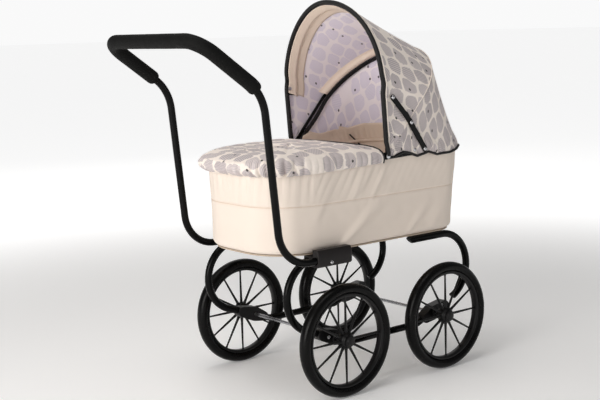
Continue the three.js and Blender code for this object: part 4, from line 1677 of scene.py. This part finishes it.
@dataclass
class Stays:
    """The jointed stays that hold the hood up, and the plates and rivets they turn on."""

    pivot: tuple = (0.0, 387.0)
    top: tuple = (8.0, 485.0)
    middle: tuple = (50.0, 440.0)
    bottom: tuple = (84.0, 392.0)
    spare: tuple = (62.0, 392.0)
    tab: float = 0.3
    iron_half: float = 6.5
    lower_half: float = 5.25
    upper_half: float = 4.75
    iron_faces: tuple = (123.0, 124.8)
    lower_faces: tuple = (131.8, 133.4)
    upper_faces: tuple = (133.9, 135.5)

    def build(self) -> None:
        """Builds both sides."""
        for side in Side:
            self.build_side(side)

    def build_side(self, side: Side) -> None:
        """Builds the plate, the two links and the rivets of one side.

        Args:
            side: Which side it is.
        """
        tag = side.tag
        past = [m + (m - b) * self.tab for m, b in zip(self.middle, self.bottom)]
        for name, ends, half, faces, body, node in (
                ("rim_iron", (self.pivot, (self.bottom[0] + 8, 390)), self.iron_half, self.iron_faces,
                 "chassis", "rim_plate"),
                ("stay_lower_link", (self.bottom, past), self.lower_half, self.lower_faces,
                 f"lower_stay_{tag}", "lower_stay"),
                ("stay_upper_link", (self.top, self.middle), self.upper_half, self.upper_faces,
                 f"upper_stay_{tag}", "upper_stay")):
            outline = tight_outline([(*end, half) for end in ends])
            link = make_piece(f"{name}_{tag}", plate(outline, *faces, side), BLACK_PAINT, bevel=0.4)
            dress(link, body, "black_paint", f"{node}_{tag}")
        for name, spot, inner, head, size, body, node in (
                ("pivot_pin", self.pivot, 123, 129.7, 4.2, "chassis", "hood_pivot_pin"),
                ("plate_rivet", self.spare, 123, 130.4, 3.4, "chassis", "rim_plate_rivet"),
                ("foot_rivet", self.bottom, 123, 133.7, 3.4, "chassis", "stay_foot_rivet"),
                ("elbow_rivet", self.middle, 133.9, 135.8, 3.4, f"upper_stay_{tag}", "stay_middle_rivet"),
                ("top_rivet", self.top, 124.9, 135.8, 3.4, "front_bow", "stay_top_rivet")):
            profile = [
                (0, inner), (2, inner), (2, head), (size - 0.3, head), (size, head + 0.3),
                (size * 0.94, head + 0.8), (size * 0.7, head + 1.5), (size * 0.36, head + 2.0),
                (0, head + 2.1)]
            if name == "pivot_pin":
                profile = [
                    (0, inner), (2.5, inner), (2.5, head), (size, head), (size, head + 1.2),
                    (0, head + 1.3)]
            rivet = make_piece(f"{name}_{tag}", turned(profile, *spot, side, 28), STEEL)
            dress(rivet, body, "steel", f"{node}_{tag}")


# ---------------------------------------------------------------- the studio


@dataclass
class Studio:
    """A pale floor, soft lamps and the camera, in metres."""

    eye: tuple = (-1.23049, -1.53143, 0.60682)
    ahead: tuple = (0.61881, 0.77119, -0.14946)
    up: tuple = (0.1165, 0.0981, 0.9883)
    lens: float = 69.045
    sky: float = 0.2
    horizon: float = 0.95
    horizon_band: tuple = (0.03, 0.09)
    floor_reach: float = 60.0
    aim: tuple = (0.0, 0.0, 0.32)
    lamp_colour: tuple = (1.0, 0.97, 0.94)
    lamps: tuple = (
        ("key_lamp", (-1.5, -0.65, 1.05), 0.9, 6), ("front_lamp", (-2.0, -0.42, 0.75), 1.0, 17),
        ("top_lamp", (-0.4, 0.1, 2.4), 1.4, 18), ("back_lamp", (1.4, 2.4, 1.8), 1.6, 8))

    def build(self) -> None:
        """Sets the stage."""
        self.build_camera()
        self.build_floor()
        for name, spot, size, power in self.lamps:
            self.build_lamp(name, spot, size, power)

    def build_camera(self) -> None:
        """The camera, as a long lens from the foot end's near side."""
        camera = bpy.data.objects.new("camera", bpy.data.cameras.new("camera"))
        bpy.context.scene.collection.objects.link(camera)
        ahead = Vector(self.ahead).normalized()
        right = ahead.cross(Vector(self.up)).normalized()
        turn = Matrix((right, right.cross(ahead), -ahead)).transposed()
        camera.matrix_world = Matrix.Translation(self.eye) @ turn.to_4x4()
        camera.data.lens = self.lens
        camera.data.clip_end = 200
        bpy.context.scene.camera = camera

    def build_floor(self) -> None:
        """A wide floor that runs up into a pale world."""
        corners = ((-1, -1), (1, -1), (1, 1), (-1, 1))
        shape = Shape([Vector((x, y, 0)) * self.floor_reach for x, y in corners], [(0, 1, 2, 3)])
        floor = make_piece("studio_floor", shape, FLOOR)
        world = bpy.data.worlds.new("studio")
        world.use_nodes = True
        nodes, links = world.node_tree.nodes, world.node_tree.links
        heading = nodes.new("ShaderNodeTexCoord")
        height = nodes.new("ShaderNodeSeparateXYZ")
        ramp = nodes.new("ShaderNodeValToRGB")
        low, high = ramp.color_ramp.elements
        low.position, high.position = self.horizon_band
        low.color, high.color = (*[self.horizon] * 3, 1), (*[self.sky] * 3, 1)
        links.new(heading.outputs["Generated"], height.inputs[0])
        links.new(height.outputs["Z"], ramp.inputs[0])
        links.new(ramp.outputs["Color"], nodes["Background"].inputs["Color"])
        bpy.context.scene.world = world
        bpy.context.scene.view_settings.view_transform = "Standard"

    def build_lamp(self, name: str, spot: tuple, size: float, power: float) -> None:
        """One soft square lamp.

        Args:
            name: The lamp's name.
            spot: Where it is.
            size: Its width in metres.
            power: Its power in watts.
        """
        lamp = bpy.data.objects.new(name, bpy.data.lights.new(name, "AREA"))
        bpy.context.scene.collection.objects.link(lamp)
        lamp.data.shape = "SQUARE"
        lamp.data.size = size
        lamp.data.energy = power
        lamp.data.color = self.lamp_colour
        lamp.visible_camera = False
        lamp.location = spot
        lamp.rotation_euler = (Vector(self.aim) - Vector(spot)).to_track_quat("-Z", "Y").to_euler()


def main() -> None:
    """Builds the studio and every sub-assembly in order."""
    logging.basicConfig(level=logging.INFO, format="%(name)s: %(message)s")
    plan = Plan()
    for part in (Studio(), Wheels(), Chassis(), Carrycot(plan), Apron(plan), Hood(plan), Stays()):
        LOG.info("building %s", type(part).__name__)
        part.build()


if __name__ == "__main__":
    main()
